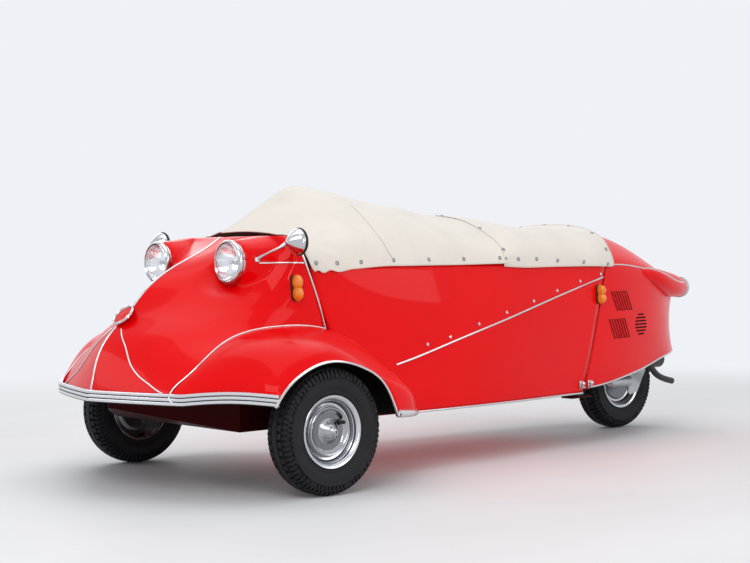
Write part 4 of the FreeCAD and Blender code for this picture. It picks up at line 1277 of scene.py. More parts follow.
@dataclass
class Cover:
    """Buttoned canvas over the cockpit, stretched from the cowl over the hidden wheel and seats."""

    cloth: Material
    binding: Material
    metal: Material
    stitching: Material
    columns: int = 60
    rows: int = 150
    across: Row = (0, 60, 120, 180, 240, 290, 322, 343, 352.5)
    heights: tuple[tuple[float, Row], ...] = (
        # y, heights at the places across, from the ridge to the hem
        (12, (819, 811, 804, 797, 788, 774, 750, 720, 688)),
        (45, (841, 822, 811, 803, 794, 780, 755, 722, 688)),
        (80, (861, 839, 820, 809, 800, 787, 762, 728, 688)),
        (121, (885, 858, 835, 818, 808, 797, 772, 738, 688)),
        (160, (908, 881, 855, 832, 817, 804, 780, 744, 687)),
        (215, (943, 915, 886, 860, 836, 815, 788, 748, 688)),
        (300, (979, 964, 937, 906, 872, 836, 797, 752, 693)),
        (400, (977, 962, 941, 914, 878, 838, 799, 753, 700)),
        (520, (953, 941, 923, 900, 868, 830, 795, 752, 701)),
        (640, (934, 923, 907, 885, 855, 820, 789, 749, 701)),
        (766, (915, 905, 891, 870, 841, 808, 780, 744, 701)),
        (910, (889, 881, 868, 850, 824, 797, 772, 740, 702)),
        (1026, (885, 879, 865, 845, 820, 793, 767, 736, 703)),
    )
    front: Row = (12, 45, 76, 94, 107, 114, 100, 99, 123)  # where the cloth begins at each place across
    sewn: Rows = (
        # y, height, x of the seam from the ridge down to the hem
        (421, 912, 176), (419, 890, 214), (415, 863, 258), (416, 835, 291),
        (424, 806, 315), (437, 776, 332), (450, 747, 344), (466, 724, 350),
    )
    studs: Rows = (
        # y, height
        (130, 715), (219, 714), (322, 716), (467, 721), (632, 721), (801, 721), (983, 723),
    )
    tuck: float = 3.0  # how far the cloth is drawn in between studs
    tuck_pitch: float = 149
    fan: float = 4.2  # height of the folds that fan out of the front corners
    fan_corner: tuple[float, float] = (105, 780)  # y, height
    fan_reach: tuple[float, float] = (120, 90)  # where the folds are deepest and how far they run
    fan_folds: float = 15
    slack: float = 3.0  # depth of the dents along the ridge

    def stretched(self) -> np.ndarray:
        """Draws the cloth without its folds.

        Returns:
            Places as rows by columns by three, each row from the hem to the ridge.
        """
        knots = [row[0] for row in self.heights]
        table = np.array([row[1] for row in self.heights], float)
        share = np.linspace(0, 1, self.rows)
        lines = []
        for column, start in enumerate(self.front):
            y = start + (knots[-1] - start) * share
            z = spline(knots, table[:, column], y)
            lines.append(np.stack([np.full_like(y, self.across[column]), y, z], 1))
        cage = np.array(lines)
        points = np.array([smooth_path(cage[::-1, row], self.columns) for row in range(self.rows)])
        points[:, :, 1] += FRONT
        points[:, -1, 0] = 0
        return points

    def build(self) -> Surface:
        """Makes the cloth, its hem binding, its seams and its press studs.

        Returns:
            The cloth's surface.
        """
        points = self.stretched()
        self.crease(points)
        bm = whole_skin(points, (0, FRONT + 500, 600))
        surface = Surface(bm)
        cloth = keep(bm, "cockpit_cover", self.cloth, BODY, sharp=80, sheet=1.4,
                     stands_for=["tonneau_cover"])
        LOG.info("cover area %.3f", sum(p.area for p in cloth.data.polygons))
        edge = [p + np.array((0.5, 0, 1.5)) for p in points[:, 0]]
        front = [p + np.array((0.0, -0.6, 0.8)) for p in points[0]]
        hem = merge([rod_mesh(edge, 1.9, 1), rod_mesh(front, 1.7, 1)])
        keep(both_sides(hem), "cover_hem", self.binding, BODY)
        self.seams(surface)
        keep(press_studs(surface, self.studs), "cover_studs", self.metal, BODY)
        return surface

    def crease(self, points: np.ndarray) -> None:
        """Adds soft folds: drawn in at the studs, fanned at the front corners and slack on the ridge.

        Args:
            points: the cloth's places, which move.
        """
        y = points[..., 1] - FRONT
        x = points[..., 0]
        drop = np.clip((820 - points[..., 2]) / 130, 0, 1)
        between = np.sin((y - 122) / self.tuck_pitch * math.pi) ** 2
        points[..., 0] -= self.tuck * between * np.sin(drop * math.pi) * step(110, 170, y)
        corner_y, corner_z = self.fan_corner
        deepest, run = self.fan_reach
        angle = np.arctan2(points[..., 2] - corner_z, y - corner_y)
        reach = np.hypot(points[..., 2] - corner_z, y - corner_y)
        folds = np.cos(angle * self.fan_folds) * np.exp(-((reach - deepest) / run) ** 2)
        points[..., 2] += self.fan * folds * step(120, 240, x)
        dents = np.sin(y / 61 + x / 90) * np.sin(x / 75 + 1.2) * step(260, 420, y)
        points[..., 2] += self.slack * dents * (1 - step(250, 330, x))

    def seams(self, surface: Surface) -> None:
        """The sewn seam on each side."""
        line = [surface.nearest((x, y + FRONT, z), 0.3) for y, z, x in smooth_path(self.sewn, 30)]
        keep(both_sides(rod_mesh(line, 1.3, 1)), "cover_seams", self.stitching, BODY)


def crown_studs(surface: Surface, spots: Iterable[Row], radius: float = 7.5) -> Mesh:
    """Makes studs on top of a cloth, both sides.

    Args:
        surface: the cloth.
        spots: (x, y from the front axle) of each.
        radius: their size.

    Returns:
        All of them.
    """
    profile = ((0, radius), (1.2, radius), (2.6, radius * 0.8), (3.4, radius * 0.4), (3.6, 0))
    studs = []
    for x, y in spots:
        stud = turned(profile, standing(*surface.hit(Vector((x, y + FRONT, ABOVE)), DOWNWARDS)), 16)
        studs += [stud] if x == 0 else [mirrored(stud), stud]
    return merge(studs)


def press_studs(surface: Surface, spots: Iterable[Row], radius: float = 7.5) -> Mesh:
    """Makes domed caps on the side of a panel, both sides.

    Args:
        surface: the panel.
        spots: (y from the front axle, height) of each.
        radius: their size.

    Returns:
        All of them.
    """
    profile = ((0, radius), (1.6, radius), (2.4, radius - 1.2), (1.8, radius - 2.6), (2.6, 3), (3.4, 0))
    places = (standing(*surface.on_side(y + FRONT, z)) for y, z in spots)
    return both_sides(merge(turned(profile, place, 20) for place in places))


@dataclass
class Bag:
    """Stuffed canvas bag over the folded hood, which laps over the cockpit cover and the tail's lip."""

    cloth: Material
    binding: Material
    metal: Material
    columns: int = 56
    rows: int = 80
    sections: tuple[tuple[float, Row, Row], ...] = (
        # y, x across, heights, from the crown to the hem
        (1006, (0, 70, 140, 205, 262, 302, 332, 346, 347), (887, 881, 866, 846, 822, 797, 767, 733, 692)),
        (1100, (0, 70, 140, 205, 262, 304, 334, 346, 346), (881, 873, 857, 838, 816, 793, 764, 731, 687)),
        (1240, (0, 70, 140, 205, 262, 304, 332, 343, 342), (858, 853, 842, 826, 808, 788, 760, 729, 687)),
        (1400, (0, 70, 140, 205, 262, 302, 328, 339, 338), (841, 839, 832, 820, 804, 785, 757, 727, 687)),
        (1530, (0, 70, 140, 200, 256, 296, 322, 333, 332), (845, 844, 839, 827, 809, 789, 758, 725, 686)),
        (1618, (0, 68, 136, 194, 248, 288, 314, 326, 325), (852, 851, 846, 834, 815, 793, 758, 724, 684)),
        (1660, (0, 66, 132, 188, 242, 282, 308, 322, 321), (851, 850, 845, 833, 814, 792, 757, 722, 684)),
    )
    lap_y: float = 1018
    wall_y: float = 1588
    studs: Rows = (
        # y, height
        (1080, 718), (1180, 717), (1298, 710), (1452, 703), (1604, 694), (1604, 751), (1014, 754),
        (1014, 719),
    )
    top_studs: Rows = ((0, 1602), (130, 1602), (250, 1602), (14, 1016), (215, 1015))  # x, y
    worked_out: dict[float, np.ndarray] = field(default_factory=dict)

    @staticmethod
    def rear_edge(height: float) -> float:
        """Where the cloth ends at a height: upright on top, swept back at its lower corners."""
        corner = clamped((710 - height) / 26)
        return 1618 + 29 * clamped((792 - height) / 95) ** 1.5 - 26 * (1 - math.sqrt(1 - corner ** 2))

    def stuffed(self) -> np.ndarray:
        """Draws the bag with its soft dents.

        Returns:
            Places as rows by columns by three, each row from the hem to the crown.
        """
        front = self.sections[0][0]
        heights = self.outline(1012.0)[:, 1]
        grid = []
        for share in np.linspace(0, 1, self.rows):
            line = []
            for column, height in enumerate(heights):
                y = front + (self.rear_edge(height) - front) * share
                x, z = self.outline(y)[column]
                line.append((x, y + FRONT, z))
            grid.append(line)
        points = np.array(grid)
        points[:, -1, 0] = 0
        down = np.linspace(1, 0, self.columns)[None, :]
        points[..., 2] += 1.5 * np.sin(points[..., 1] / 43 + down * 4) * np.sin(down * math.pi)
        return points

    def build(self, cover: Surface) -> None:
        """Makes the bag, its end wall, its hem and its studs.

        Args:
            cover: the cockpit cover's surface, which the bag laps over.
        """
        points = self.stuffed()
        self.lap(points, cover)
        bm = whole_skin(points, (0, FRONT + 1300, 650))
        surface = Surface(bm)
        cloth = keep(bm, "hood_cover", self.cloth, BODY, sharp=80, sheet=1.4,
                     stands_for=["hood_bag"])
        LOG.info("bag area %.3f", sum(p.area for p in cloth.data.polygons))
        self.end_wall(points)
        hem = rod_mesh([p + np.array((0.5, 0, 1.5)) for p in points[:, 0]], 1.9, 1)
        back = rod_mesh([p + np.array((0, 0.6, 0.6)) for p in points[-1]], 1.7, 1)
        keep(both_sides(merge([hem, back])), "bag_hem", self.binding, BODY)
        studs = merge([press_studs(surface, self.studs), crown_studs(surface, self.top_studs)])
        keep(studs, "bag_studs", self.metal, BODY)

    def outline(self, y: float) -> np.ndarray:
        """Gives the left half of one cross section, kept once worked out.

        Args:
            y: place from the front axle.

        Returns:
            (x, z) from the hem to the crown.
        """
        key = round(y, 0)
        if key not in self.worked_out:
            knots = [row[0] for row in self.sections]
            table = np.array([row[1:] for row in self.sections], float)
            x, z = spline(knots, table, np.array([key]))[0]
            self.worked_out[key] = smooth_path(np.stack([x, z], 1)[::-1], self.columns)
        return self.worked_out[key]

    def lap(self, points: np.ndarray, cover: Surface) -> None:
        """Draws the bag's front edge down onto the cover that it laps over.

        Args:
            points: the bag's places, which move.
            cover: the cover's surface.
        """
        row = int(np.argmin(np.abs(points[:, 0, 1] - FRONT - self.lap_y)))
        shifts = np.array([np.array(cover.nearest(p, 2.6)) - p for p in points[row]])
        shifts[:, 1] = 0
        shifts[-1, 0] = 0
        ease = (1 - step(1030, 1150, points[..., 1] - FRONT)) * step(705, 735, points[..., 2])
        points += ease[..., None] * shifts[None]

    def end_wall(self, points: np.ndarray) -> None:
        """Closes the bag behind, inside the tail's lip.

        Args:
            points: the bag's places.
        """
        rim = points[-1].copy()
        rim[:, 0] -= 5 * (rim[:, 0] > 5)
        rim[:, 2] -= 5
        rim[:, 1] = FRONT + self.wall_y
        middle = np.array((0, FRONT + self.wall_y, 760.0))
        rows = [middle + (rim - middle) * share for share in (1.0, 0.6, 0.2, 0.0)]
        bm = panel(np.array(rows))
        both_halves(bm)
        bmesh.ops.remove_doubles(bm, verts=bm.verts, dist=1e-5)
        keep(bm, "bag_end", self.cloth, BODY, sharp=80)


# ------------------------------------------------------------------ wheels


class Corner(Enum):
    """The three wheels."""

    FRONT_LEFT = "front_left"
    FRONT_RIGHT = "front_right"
    REAR = "rear"


@dataclass
class Wheel:
    """A tyre with its tread, a pressed rim and, in front, a domed cap.

    Each profile holds (along the axle, radius), with the outer face towards +.
    """

    corner: Corner
    stock: Stock
    steps: int = 144
    wall: Path = (
        (33.5, 104), (37.5, 114.5), (41.5, 118), (43, 124), (42.5, 126), (45.5, 132), (48.8, 142),
        (50, 152), (49.6, 161), (50.4, 163), (51.8, 164.5), (50.4, 166), (49.2, 167), (48.8, 171),
        (46.6, 181), (42.5, 188.5), (34, 193.4),
    )
    tread: Path = (
        (33, 188.5), (30.5, 188.5), (29.5, 194.6), (15.5, 196.8), (14.5, 190.5), (12, 190.5), (11, 197.2),
    )
    rim_profile: Path = (
        (-33.5, 103), (-38, 111), (-40.5, 113.6), (-42, 112.5), (-41, 108), (-36, 100.5), (-22, 99.5),
        (-14, 84), (-20, 70), (-26, 70), (-26, 14), (-20, 12), (16, 12), (16, 30), (13, 78), (16, 90),
        (21, 96), (25, 99), (34, 100), (38, 103), (41, 108), (42, 112.5), (40.5, 113.6), (38, 111),
        (33.5, 103),
    )
    disc_profile: Path = (
        (14, 20), (18, 22), (18.5, 74), (14, 78), (13.4, 84), (16, 89), (21.5, 92), (23.5, 94), (23, 97.5),
    )
    cap_profile: Path = (
        (17, 78), (22, 77.6), (26, 76), (28, 73), (27, 70), (22, 64.5), (17, 57), (15, 50), (16, 43),
        (21, 36), (29, 30), (37, 25), (43, 20), (45.5, 16.5), (47, 14), (52.5, 11.5), (55, 8),
        (55.4, 4.6), (51, 4), (50, 0),
    )
    slot_depth: float = 5.5
    slot_edge: float = 0.6
    slot_core: float = 150  # radius that the slots sink towards
    valve: Row = (-35, 44, 26)
    hole_shade_profile: Path = ((53, 0), (53.5, 10), (50, 11.5))
    stem_profile: Path = ((40, 4.6), (66, 4.6), (66, 6), (78, 6), (81, 4), (81, 0))

    def place(self) -> Matrix:
        """Where the wheel stands, its outer face along +X."""
        centre = middle_of(f"tyre_{self.corner.value}")
        return facing(*centre, 180 if self.corner is Corner.FRONT_RIGHT else 0)

    def build(self) -> None:
        """Makes all the wheel's pieces."""
        corner = self.corner.value
        body = f"wheel_{corner}"
        keep(self.tyre(), f"{body}_tyre", self.stock.tyre, body, sharp=30, stands_for=[f"tyre_{corner}"])
        keep(self.pressing(self.rim_profile), f"{body}_rim", self.stock.wheel, body, sharp=28,
             stands_for=[f"rim_{corner}"])
        # the disc's dull grey is painted dark reflection
        keep(self.pressing(self.disc_profile), f"{body}_disc", self.stock.disc, body, sharp=28)
        if self.corner is Corner.REAR:
            return
        keep(self.pressing(self.cap_profile), f"{body}_cap", self.stock.cap, body, sharp=40,
             stands_for=[f"hubcap_{corner}"])
        at_valve = self.place() @ Matrix.Translation(Vector(self.valve) * MM)
        # a dark cap over the valve's hole: painted shade inside it
        keep(turned(self.hole_shade_profile, at_valve, 24), f"{body}_valve_hole_shade", self.stock.dark, body)
        keep(turned(self.stem_profile, at_valve, 16), f"{body}_valve", self.stock.seal, body)

    def pressing(self, profile: Path) -> Mesh:
        """Turns a rim, a disc or a cap.

        Args:
            profile: its outline.

        Returns:
            The mesh, its faces outwards.
        """
        bm = turned(profile, self.place(), 96)
        bmesh.ops.recalc_face_normals(bm, faces=bm.faces)
        return bm

    def slots(self, bm: Mesh) -> list[bmesh.types.BMFace]:
        """Picks the faces to sink: every other one on the shoulders and every third on the tread's blocks.

        Args:
            bm: the plain tyre, round the X axis.

        Returns:
            The faces.
        """
        chosen = []
        for face in bm.faces:
            spot = face.calc_center_median() / MM
            radius, across = math.hypot(spot.y, spot.z), abs(spot.x)
            angle = math.atan2(spot.z, spot.y) / (2 * math.pi) * self.steps
            index = math.floor(angle + (0.5 if spot.x > 0 else 0))
            shoulder = radius > 167.5 and across > 34 and index % 2 == 0
            block = radius > 192 and 16 < across < 29 and (index + 1) % 3 == 0
            if shoulder or block:
                chosen.append(face)
        return chosen

    def tyre(self) -> Mesh:
        """Makes the rounded carcass with ribbed walls, four grooves and crosswise sipes.

        Returns:
            The mesh.
        """
        half = self.wall + self.tread
        outline = [(-x, r) for x, r in half] + [(x, r) for x, r in reversed(half)]
        bm = turned(outline, Matrix.Identity(4), self.steps)
        slots = self.slots(bm)
        bmesh.ops.inset_region(bm, faces=slots, thickness=self.slot_edge * MM, depth=0.0)
        for vert in {v for face in slots for v in face.verts}:
            x, y, z = vert.co
            core = Vector((0, y, z)).normalized() * self.slot_core * MM + Vector((x / 2, 0, 0))
            vert.co += (core - vert.co).normalized() * self.slot_depth * MM
        bmesh.ops.recalc_face_normals(bm, faces=bm.faces)
        bmesh.ops.transform(bm, matrix=self.place(), verts=bm.verts)
        return bm


# ------------------------------------------------------------------ lamps and mirrors


@dataclass
class Lamps:
    """Headlamps, tail lamps and flashers.

    Each profile holds (along the lamp, radius), with the lens towards +.
    """

    stock: Stock
    bowl: Path = ((-20, 0), (-17, 14), (-9, 30), (1, 43), (13, 56), (24, 64), (40, 66), (62, 66.5))
    rim: Path = (
        (60, 66.5), (62, 69.5), (67, 71.8), (73, 72), (77, 70.5), (80, 67.5), (81, 64.5), (79, 63),
        (76, 63),
    )
    reflector: Path = ((77, 63), (70, 60), (58, 52), (46, 41), (38, 29), (34, 17), (33, 8), (33, 0))
    bulb: Path = ((33, 9), (46, 9), (47, 6), (60, 6.5), (66, 4), (68, 0))
    lens: Path = ((77, 63.2), (81, 60), (86, 48), (89.5, 32), (91.5, 16), (92, 0))
    tail_x: float = 160
    tail_seat: Path = ((-24, 36), (-24, 41), (-20, 43.5), (-15, 43.5), (-12, 41.5), (-12, 36))
    tail_ring: Path = ((-14, 38), (-13, 42), (-9, 43.4), (2, 43), (7, 41), (10.5, 37), (9, 33))
    tail_dome: Path = ((4, 36), (10, 34), (14, 29), (17.5, 20), (19.5, 9), (20, 0))

    def build(self, nose: Surface, tub: Surface) -> None:
        """Makes every lamp, left and right.

        Args:
            nose: the nose's surface, which carries the front flashers.
            tub: the tub's surface, which carries the rear ones.
        """
        for side, sign in (("left", 1), ("right", -1)):
            self.headlamp(side, sign)
            self.tail_lamp(side, sign)
        self.flasher("front", nose, y=FRONT + 54, height=636, tall=82, wide=34)
        self.flasher("rear", tub, y=REAR - 476, height=577, tall=70, wide=30)

    def headlamp(self, side: str, sign: int) -> None:
        """Makes a bowl with its rim, reflector, bulb and fluted glass.

        Args:
            side: left or right.
            sign: 1 for left, -1 for right.
        """
        place = facing(LAMP_X * sign, FRONT - 43, LAMP_Z, -90)
        bowl = turned(self.bowl + self.rim, place, 72)
        face_outwards(bowl, place @ Vector((0.03, 0, 0)))
        keep(bowl, f"headlamp_bowl_{side}", self.stock.chrome, BODY, sharp=60,
             stands_for=[f"headlamp_{side}"])
        keep(turned(self.reflector, place, 60), f"headlamp_reflector_{side}", self.stock.mirror, BODY,
             sharp=80)
        keep(turned(self.bulb, place, 20), f"headlamp_bulb_{side}", self.stock.bright, BODY)
        glass = turned(self.lens, place, 60)
        face_outwards(glass, place @ Vector())
        keep(glass, f"headlamp_lens_{side}", self.stock.glass, BODY, sharp=80, sheet=2.5,
             stands_for=[f"headlamp_glass_{side}"])

    def tail_lamp(self, side: str, sign: int) -> None:
        """Makes a seat, a bright ring and a ruby dome.

        Args:
            side: left or right.
            sign: 1 for left, -1 for right.
        """
        low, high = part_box(f"tail_lamp_{side}")
        place = facing(self.tail_x * sign, low.y / MM, (low.z + high.z) / 2 / MM, 90)
        keep(turned(self.tail_seat, place, 48), f"tail_lamp_seat_{side}", self.stock.seal, TAIL_BODY)
        keep(turned(self.tail_ring, place, 48), f"tail_lamp_ring_{side}", self.stock.chrome, TAIL_BODY,
             stands_for=[f"tail_lamp_{side}"])
        dome = turned(self.tail_dome, place, 48)
        face_outwards(dome, place @ Vector((-0.02, 0, 0)))
        keep(dome, f"tail_lamp_lens_{side}", self.stock.ruby, TAIL_BODY, sharp=60)

    @staticmethod
    def flasher_foot(tall: float, wide: float) -> Mesh:
        """Makes the rubber foot, its front along +X and its ends rounded.

        Args:
            tall: height of the lamp.
            wide: its width.

        Returns:
            The mesh.
        """
        foot = block(Vector(), (12, wide + 5, tall + 4), 0)
        upright = [e for e in foot.edges if abs(e.verts[0].co.x - e.verts[1].co.x) > 1e-4]
        bmesh.ops.bevel(foot, geom=upright, offset=wide * 0.42 * MM, segments=5, affect="EDGES",
                        profile=0.5, material=-1)
        return foot

    @staticmethod
    def flasher_lobe(tall: float, wide: float, offset: float) -> Mesh:
        """Makes one domed lobe of the lens.

        Args:
            tall: height of the lamp.
            wide: its width.
            offset: how far above the middle the lobe sits.

        Returns:
            The mesh.
        """
        lobe = bmesh.new()
        bmesh.ops.create_uvsphere(lobe, u_segments=24, v_segments=14, radius=1.0)
        bmesh.ops.scale(lobe, vec=Vector((30, wide * 0.5, tall * 0.31)) * MM, verts=lobe.verts)
        bmesh.ops.translate(lobe, vec=Vector((5, 0, offset)) * MM, verts=lobe.verts)
        return lobe

    def flasher(self, which: str, side_panel: Surface, y: float, height: float, tall: float,
                wide: float) -> None:
        """Makes a dark rubber foot with a lens of two lobes, on both sides.

        Args:
            which: front or rear.
            side_panel: the surface that it stands on.
            y: place along the car.
            height: place up.
            tall: height of the lamp.
            wide: its width.
        """
        foot = self.flasher_foot(tall, wide)
        lens = merge(self.flasher_lobe(tall, wide, offset) for offset in (tall * 0.22, -tall * 0.22))
        for shape in (foot, lens):
            place = standing(*side_panel.on_side(y, height))
            bmesh.ops.transform(shape, matrix=place, verts=shape.verts)
        for side in SIDES:
            keep(on_its_side(foot, side), f"{which}_flasher_foot_{side}", self.stock.seal, BODY,
                 stands_for=[f"{which}_indicator_{side}"])
            keep(on_its_side(lens, side), f"{which}_flasher_lens_{side}", self.stock.amber, BODY, sharp=70)


@dataclass
class Mirrors:
    """Two domed wing mirrors on bent stalks.

    Each profile holds (along the mirror, radius), with the glass towards +.
    """

    stock: Stock
    middle: Row = (389, 26, 784)
    dome: Path = (
        (0, 41), (-2, 42.5), (-6, 42), (-16, 36), (-28, 26), (-38, 16.5), (-45, 9), (-48, 4), (-49, 0),
    )
    rim: Path = ((-3, 42.4), (-1, 44.6), (4, 45), (7, 43.5), (7.4, 40.5), (4, 39))
    glass: Path = ((4.5, 41), (5.0, 20), (5.1, 0))
    foot: Path = ((-8, 10.5), (1, 10.5), (3, 9.5), (5, 6), (6, 0))
    foot_at: Row = (281, -55, 728)
    foot_lean: Row = (0.85, 0.1, 0.5)
    stalk: Path = ((283, -54, 731), (300, -44, 742), (330, -27, 757), (356, -15, 768), (372, -8, 777))
    stalk_shares: Row = (0, 0.3, 0.7, 0.85, 1)
    stalk_radii: Row = (7.5, 3.4, 4.6, 7.5, 8)
    stalk_points: int = 24

    def stalk_mesh(self) -> Mesh:
        """Makes the bent stalk, waisted above its foot.

        Returns:
            The mesh.
        """
        shares = np.linspace(0, 1, self.stalk_points)
        radii = np.interp(shares, self.stalk_shares, self.stalk_radii)
        return rod_mesh(smooth_path(self.stalk, self.stalk_points) + (0, FRONT, 0), list(radii), 3)

    def build(self) -> None:
        """Makes both mirrors."""
        x, y, height = self.middle
        place = facing(x, y + FRONT, height, 90)
        dome, rim, glass = (turned(profile, place, 56) for profile in (self.dome, self.rim, self.glass))
        face_outwards(dome, place @ Vector((0.01, 0, 0)))
        face_outwards(glass, place @ Vector((-0.05, 0, 0)))
        foot_at = Vector(self.foot_at) + Vector((0, FRONT, 0))
        foot = turned(self.foot, standing(foot_at, Vector(self.foot_lean)), 24)
        chrome, seal, silver = self.stock.chrome, self.stock.seal, self.stock.mirror
        pieces = (("dome", dome, chrome), ("rim", rim, seal), ("glass", glass, silver),
                  ("stalk", self.stalk_mesh(), chrome), ("foot", foot, chrome))
        for side in SIDES:
            for label, shape, finish in pieces:
                keep(on_its_side(shape, side), f"mirror_{label}_{side}", finish, BODY, sharp=50,
                     stands_for=[f"mirror_{side}"] if label == "dome" else [])


# ------------------------------------------------------------------ trim


@dataclass
class Trim:
    """Bright strips, the ribbed bumper, the plain nose ring, side studs and what hangs below.

    A path on the side holds (y, height) and one on the tail (x, y, height), here all from the front axle.
    """

    stock: Stock
    strip: float = 3.8
    cowl: Path = ((-52, 717), (-20, 717), (40, 717), (84, 716))
    belt: Path = ((450, 369), (530, 387), (702, 431), (979, 498), (1259, 567), (1582, 643))
    tail_waist: Path = (
        (318, 1610, 695), (311, 1660, 693), (299, 1764, 689), (286, 1848, 680), (274, 1934, 669),
        (273, 2022, 646), (260, 2108, 622), (240, 2170, 611), (213, 2230, 608),
    )
    tail_hem: Path = (
        (333, 1474, 222), (326, 1567, 228), (314, 1700, 246), (304, 1775, 258), (289, 1860, 272),
        (268, 1961, 293), (236, 2066, 309), (190, 2170, 318), (134, 2252, 322),
    )
    whisker: Path = (
        # x, height, from the ring down to the hem
        (26, 514), (55, 489), (88, 462), (114, 434), (138, 408), (162, 388), (190, 370), (220, 356),
        (247, 343), (275, 331), (306, 321),
    )
    studs: Rows = (
        # y, height
        (1570, 655), (1439, 630), (1296, 598), (1155, 563), (1000, 527), (850, 491), (705, 452),
        (595, 431),
    )
    shade_sheet: Path = (
        # y, top of the painted-shade sheet in the wheel opening
        (-325, 320), (-262, 425), (-50, 488), (100, 478), (292, 425), (400, 335), (474, 248),
    )
    ring_foot: float = 516
    ring_top: float = 588
    ring_band: Path = ((0, 41), (4.5, 40), (6, 37.5), (4.5, 35), (0, 34))
    ring_disc: Path = ((-6, 35), (0, 34.5), (2, 30), (1, 26), (2.5, 14), (3.4, 0))
    bumper_nose: Path = ((0, -510), (184, -464), (353, -408))  # x, y
    bumper_wing: Path = ((353, -408), (440, -347), (522, -285), (604, -222))
    bumper_foot: float = 292
    bumper_rise: float = 9  # how far the strip arches up over each mudguard
    ribs: Row = (0, 12.5, 25)
    exhaust_pipe: Path = (
        (160, 2040, 285), (160, 2068, 262), (160, 2110, 226), (160, 2150, 208), (160, 2214, 192),
    )

    def build(self, nose: Surface, tub: Surface, tail: Surface) -> None:
        """Makes all the trim.

        Args:
            nose: the nose's surface.
            tub: the tub's surface.
            tail: the tail's surface.
        """
        self.bumper()
        self.wheel_house_shade(nose, tub)
        post = [nose.side(post_y(z) - 14, z, 1.0) for z in np.linspace(486, 788, 44)]
        belt = [tub.side(y + FRONT, z, 1.0) for y, z in smooth_path(self.belt, 60)]
        self.lay("post_strip", post, self.strip)
        self.lay("cowl_strip", [nose.side(y + FRONT, z, 0.8) for y, z in smooth_path(self.cowl, 30)], 3.0)
        self.lay("belt_strip", belt, self.strip)
        self.lay("sill_strip", [self.along_sill(tub, y) for y in np.linspace(460, 1440, 50)], 4.0)
        for name, path, count, radius in (("tail_waist_strip", self.tail_waist, 50, 3.0),
                                          ("tail_hem_strip", self.tail_hem, 60, 3.6)):
            route = [tail.nearest((x, y + FRONT, z), 0.8) for x, y, z in smooth_path(path, count)]
            self.lay(name, route, radius, TAIL_BODY)
        self.keel_strip(nose)
        self.lay("whisker", [nose.front(x, z, 1.0) for x, z in smooth_path(self.whisker, 50)], 2.5)
        self.ring(nose)
        keep(press_studs(tub, self.studs, 6.0), "side_studs", self.stock.chrome, BODY)
        self.catches(tub)
        self.underside()

    def lay(self, name: str, path: Path, radius: float, body: str = BODY) -> None:
        """Half-sunk bright strip along a path on the left, and its twin on the right."""
        keep(both_sides(rod_mesh(path, radius, 3)), name, self.stock.bright, body, sharp=60)

    def wheel_house_shade(self, nose: Surface, tub: Surface) -> None:
        """Makes a dark sheet close to the body's side in each front wheel's opening: painted shade on the
        body seen through it.

        Args:
            nose: the nose's surface, which the sheet follows in front.
            tub: the tub's surface, which it follows behind.
        """
        grid = []
        places, tops = np.array(self.shade_sheet).T
        for y in np.linspace(places[0], places[-1], 30):
            foot = 294 if y < -60 else 206
            heights = np.linspace(foot, np.interp(y, places, tops), 9)
            grid.append([(tub if y > 110 else nose).side(y + FRONT, z, 2.5) for z in heights])
        wall = panel(np.array(grid))
        face_outwards(wall, Vector((0, FRONT, 300)) * MM)
        # near-black sheet laid just off the body's side: painted shade
        keep(both_sides(wall), "wheel_house_shade", self.stock.dark, BODY, sharp=60)

    @staticmethod
    def along_sill(tub: Surface, y: float) -> Vector:
        """A place on the sill's lower edge."""
        x, y, _ = tub.side(y + FRONT, 222, 0.5)
        return Vector((x, y, 204))

    def keel_strip(self, nose: Surface) -> None:
        """Makes the strip up the nose's middle from the hem to the cowl, with a gap for the ring.

        Args:
            nose: the nose's surface.
        """
        runs = (np.linspace(328, 520, 30), np.linspace(584, 803, 40))
        rods = [rod_mesh([nose.front(0.0, z, 0.5) for z in heights], 3.4, 3) for heights in runs]
        keep(merge(rods), "keel_strip", self.stock.bright, BODY, sharp=60)

    def ring(self, nose: Surface) -> None:
        """Makes a plain bright ring with a plain disc in it, on the keel.

        Args:
            nose: the nose's surface.
        """
        low, high = nose.front(0.0, self.ring_foot), nose.front(0.0, self.ring_top)
        up = (high - low).normalized()
        out = Vector((0, -up.z, up.y))
        place = standing((low + high) / 2 + out * 7, out)
        keep(turned(self.ring_band, place, 60), "nose_ring", self.stock.chrome, BODY, sharp=60)
        keep(turned(self.ring_disc, place, 48), "nose_disc", self.stock.red, BODY, sharp=60)

    def bumper_line(self) -> np.ndarray:
        """Draws the left half of the bumper's foot, round the nose and along the mudguard.

        Returns:
            (x, y, how far it has risen) from the keel outwards.
        """
        face = arc_through(*self.bumper_nose, 34)
        wing = smooth_path(self.bumper_wing, 26)[1:]
        rise = self.bumper_rise * np.sin(np.linspace(0, 1, 25) * math.pi)
        return np.column_stack([np.concatenate([face, wing]), np.concatenate([np.zeros(34), rise])])

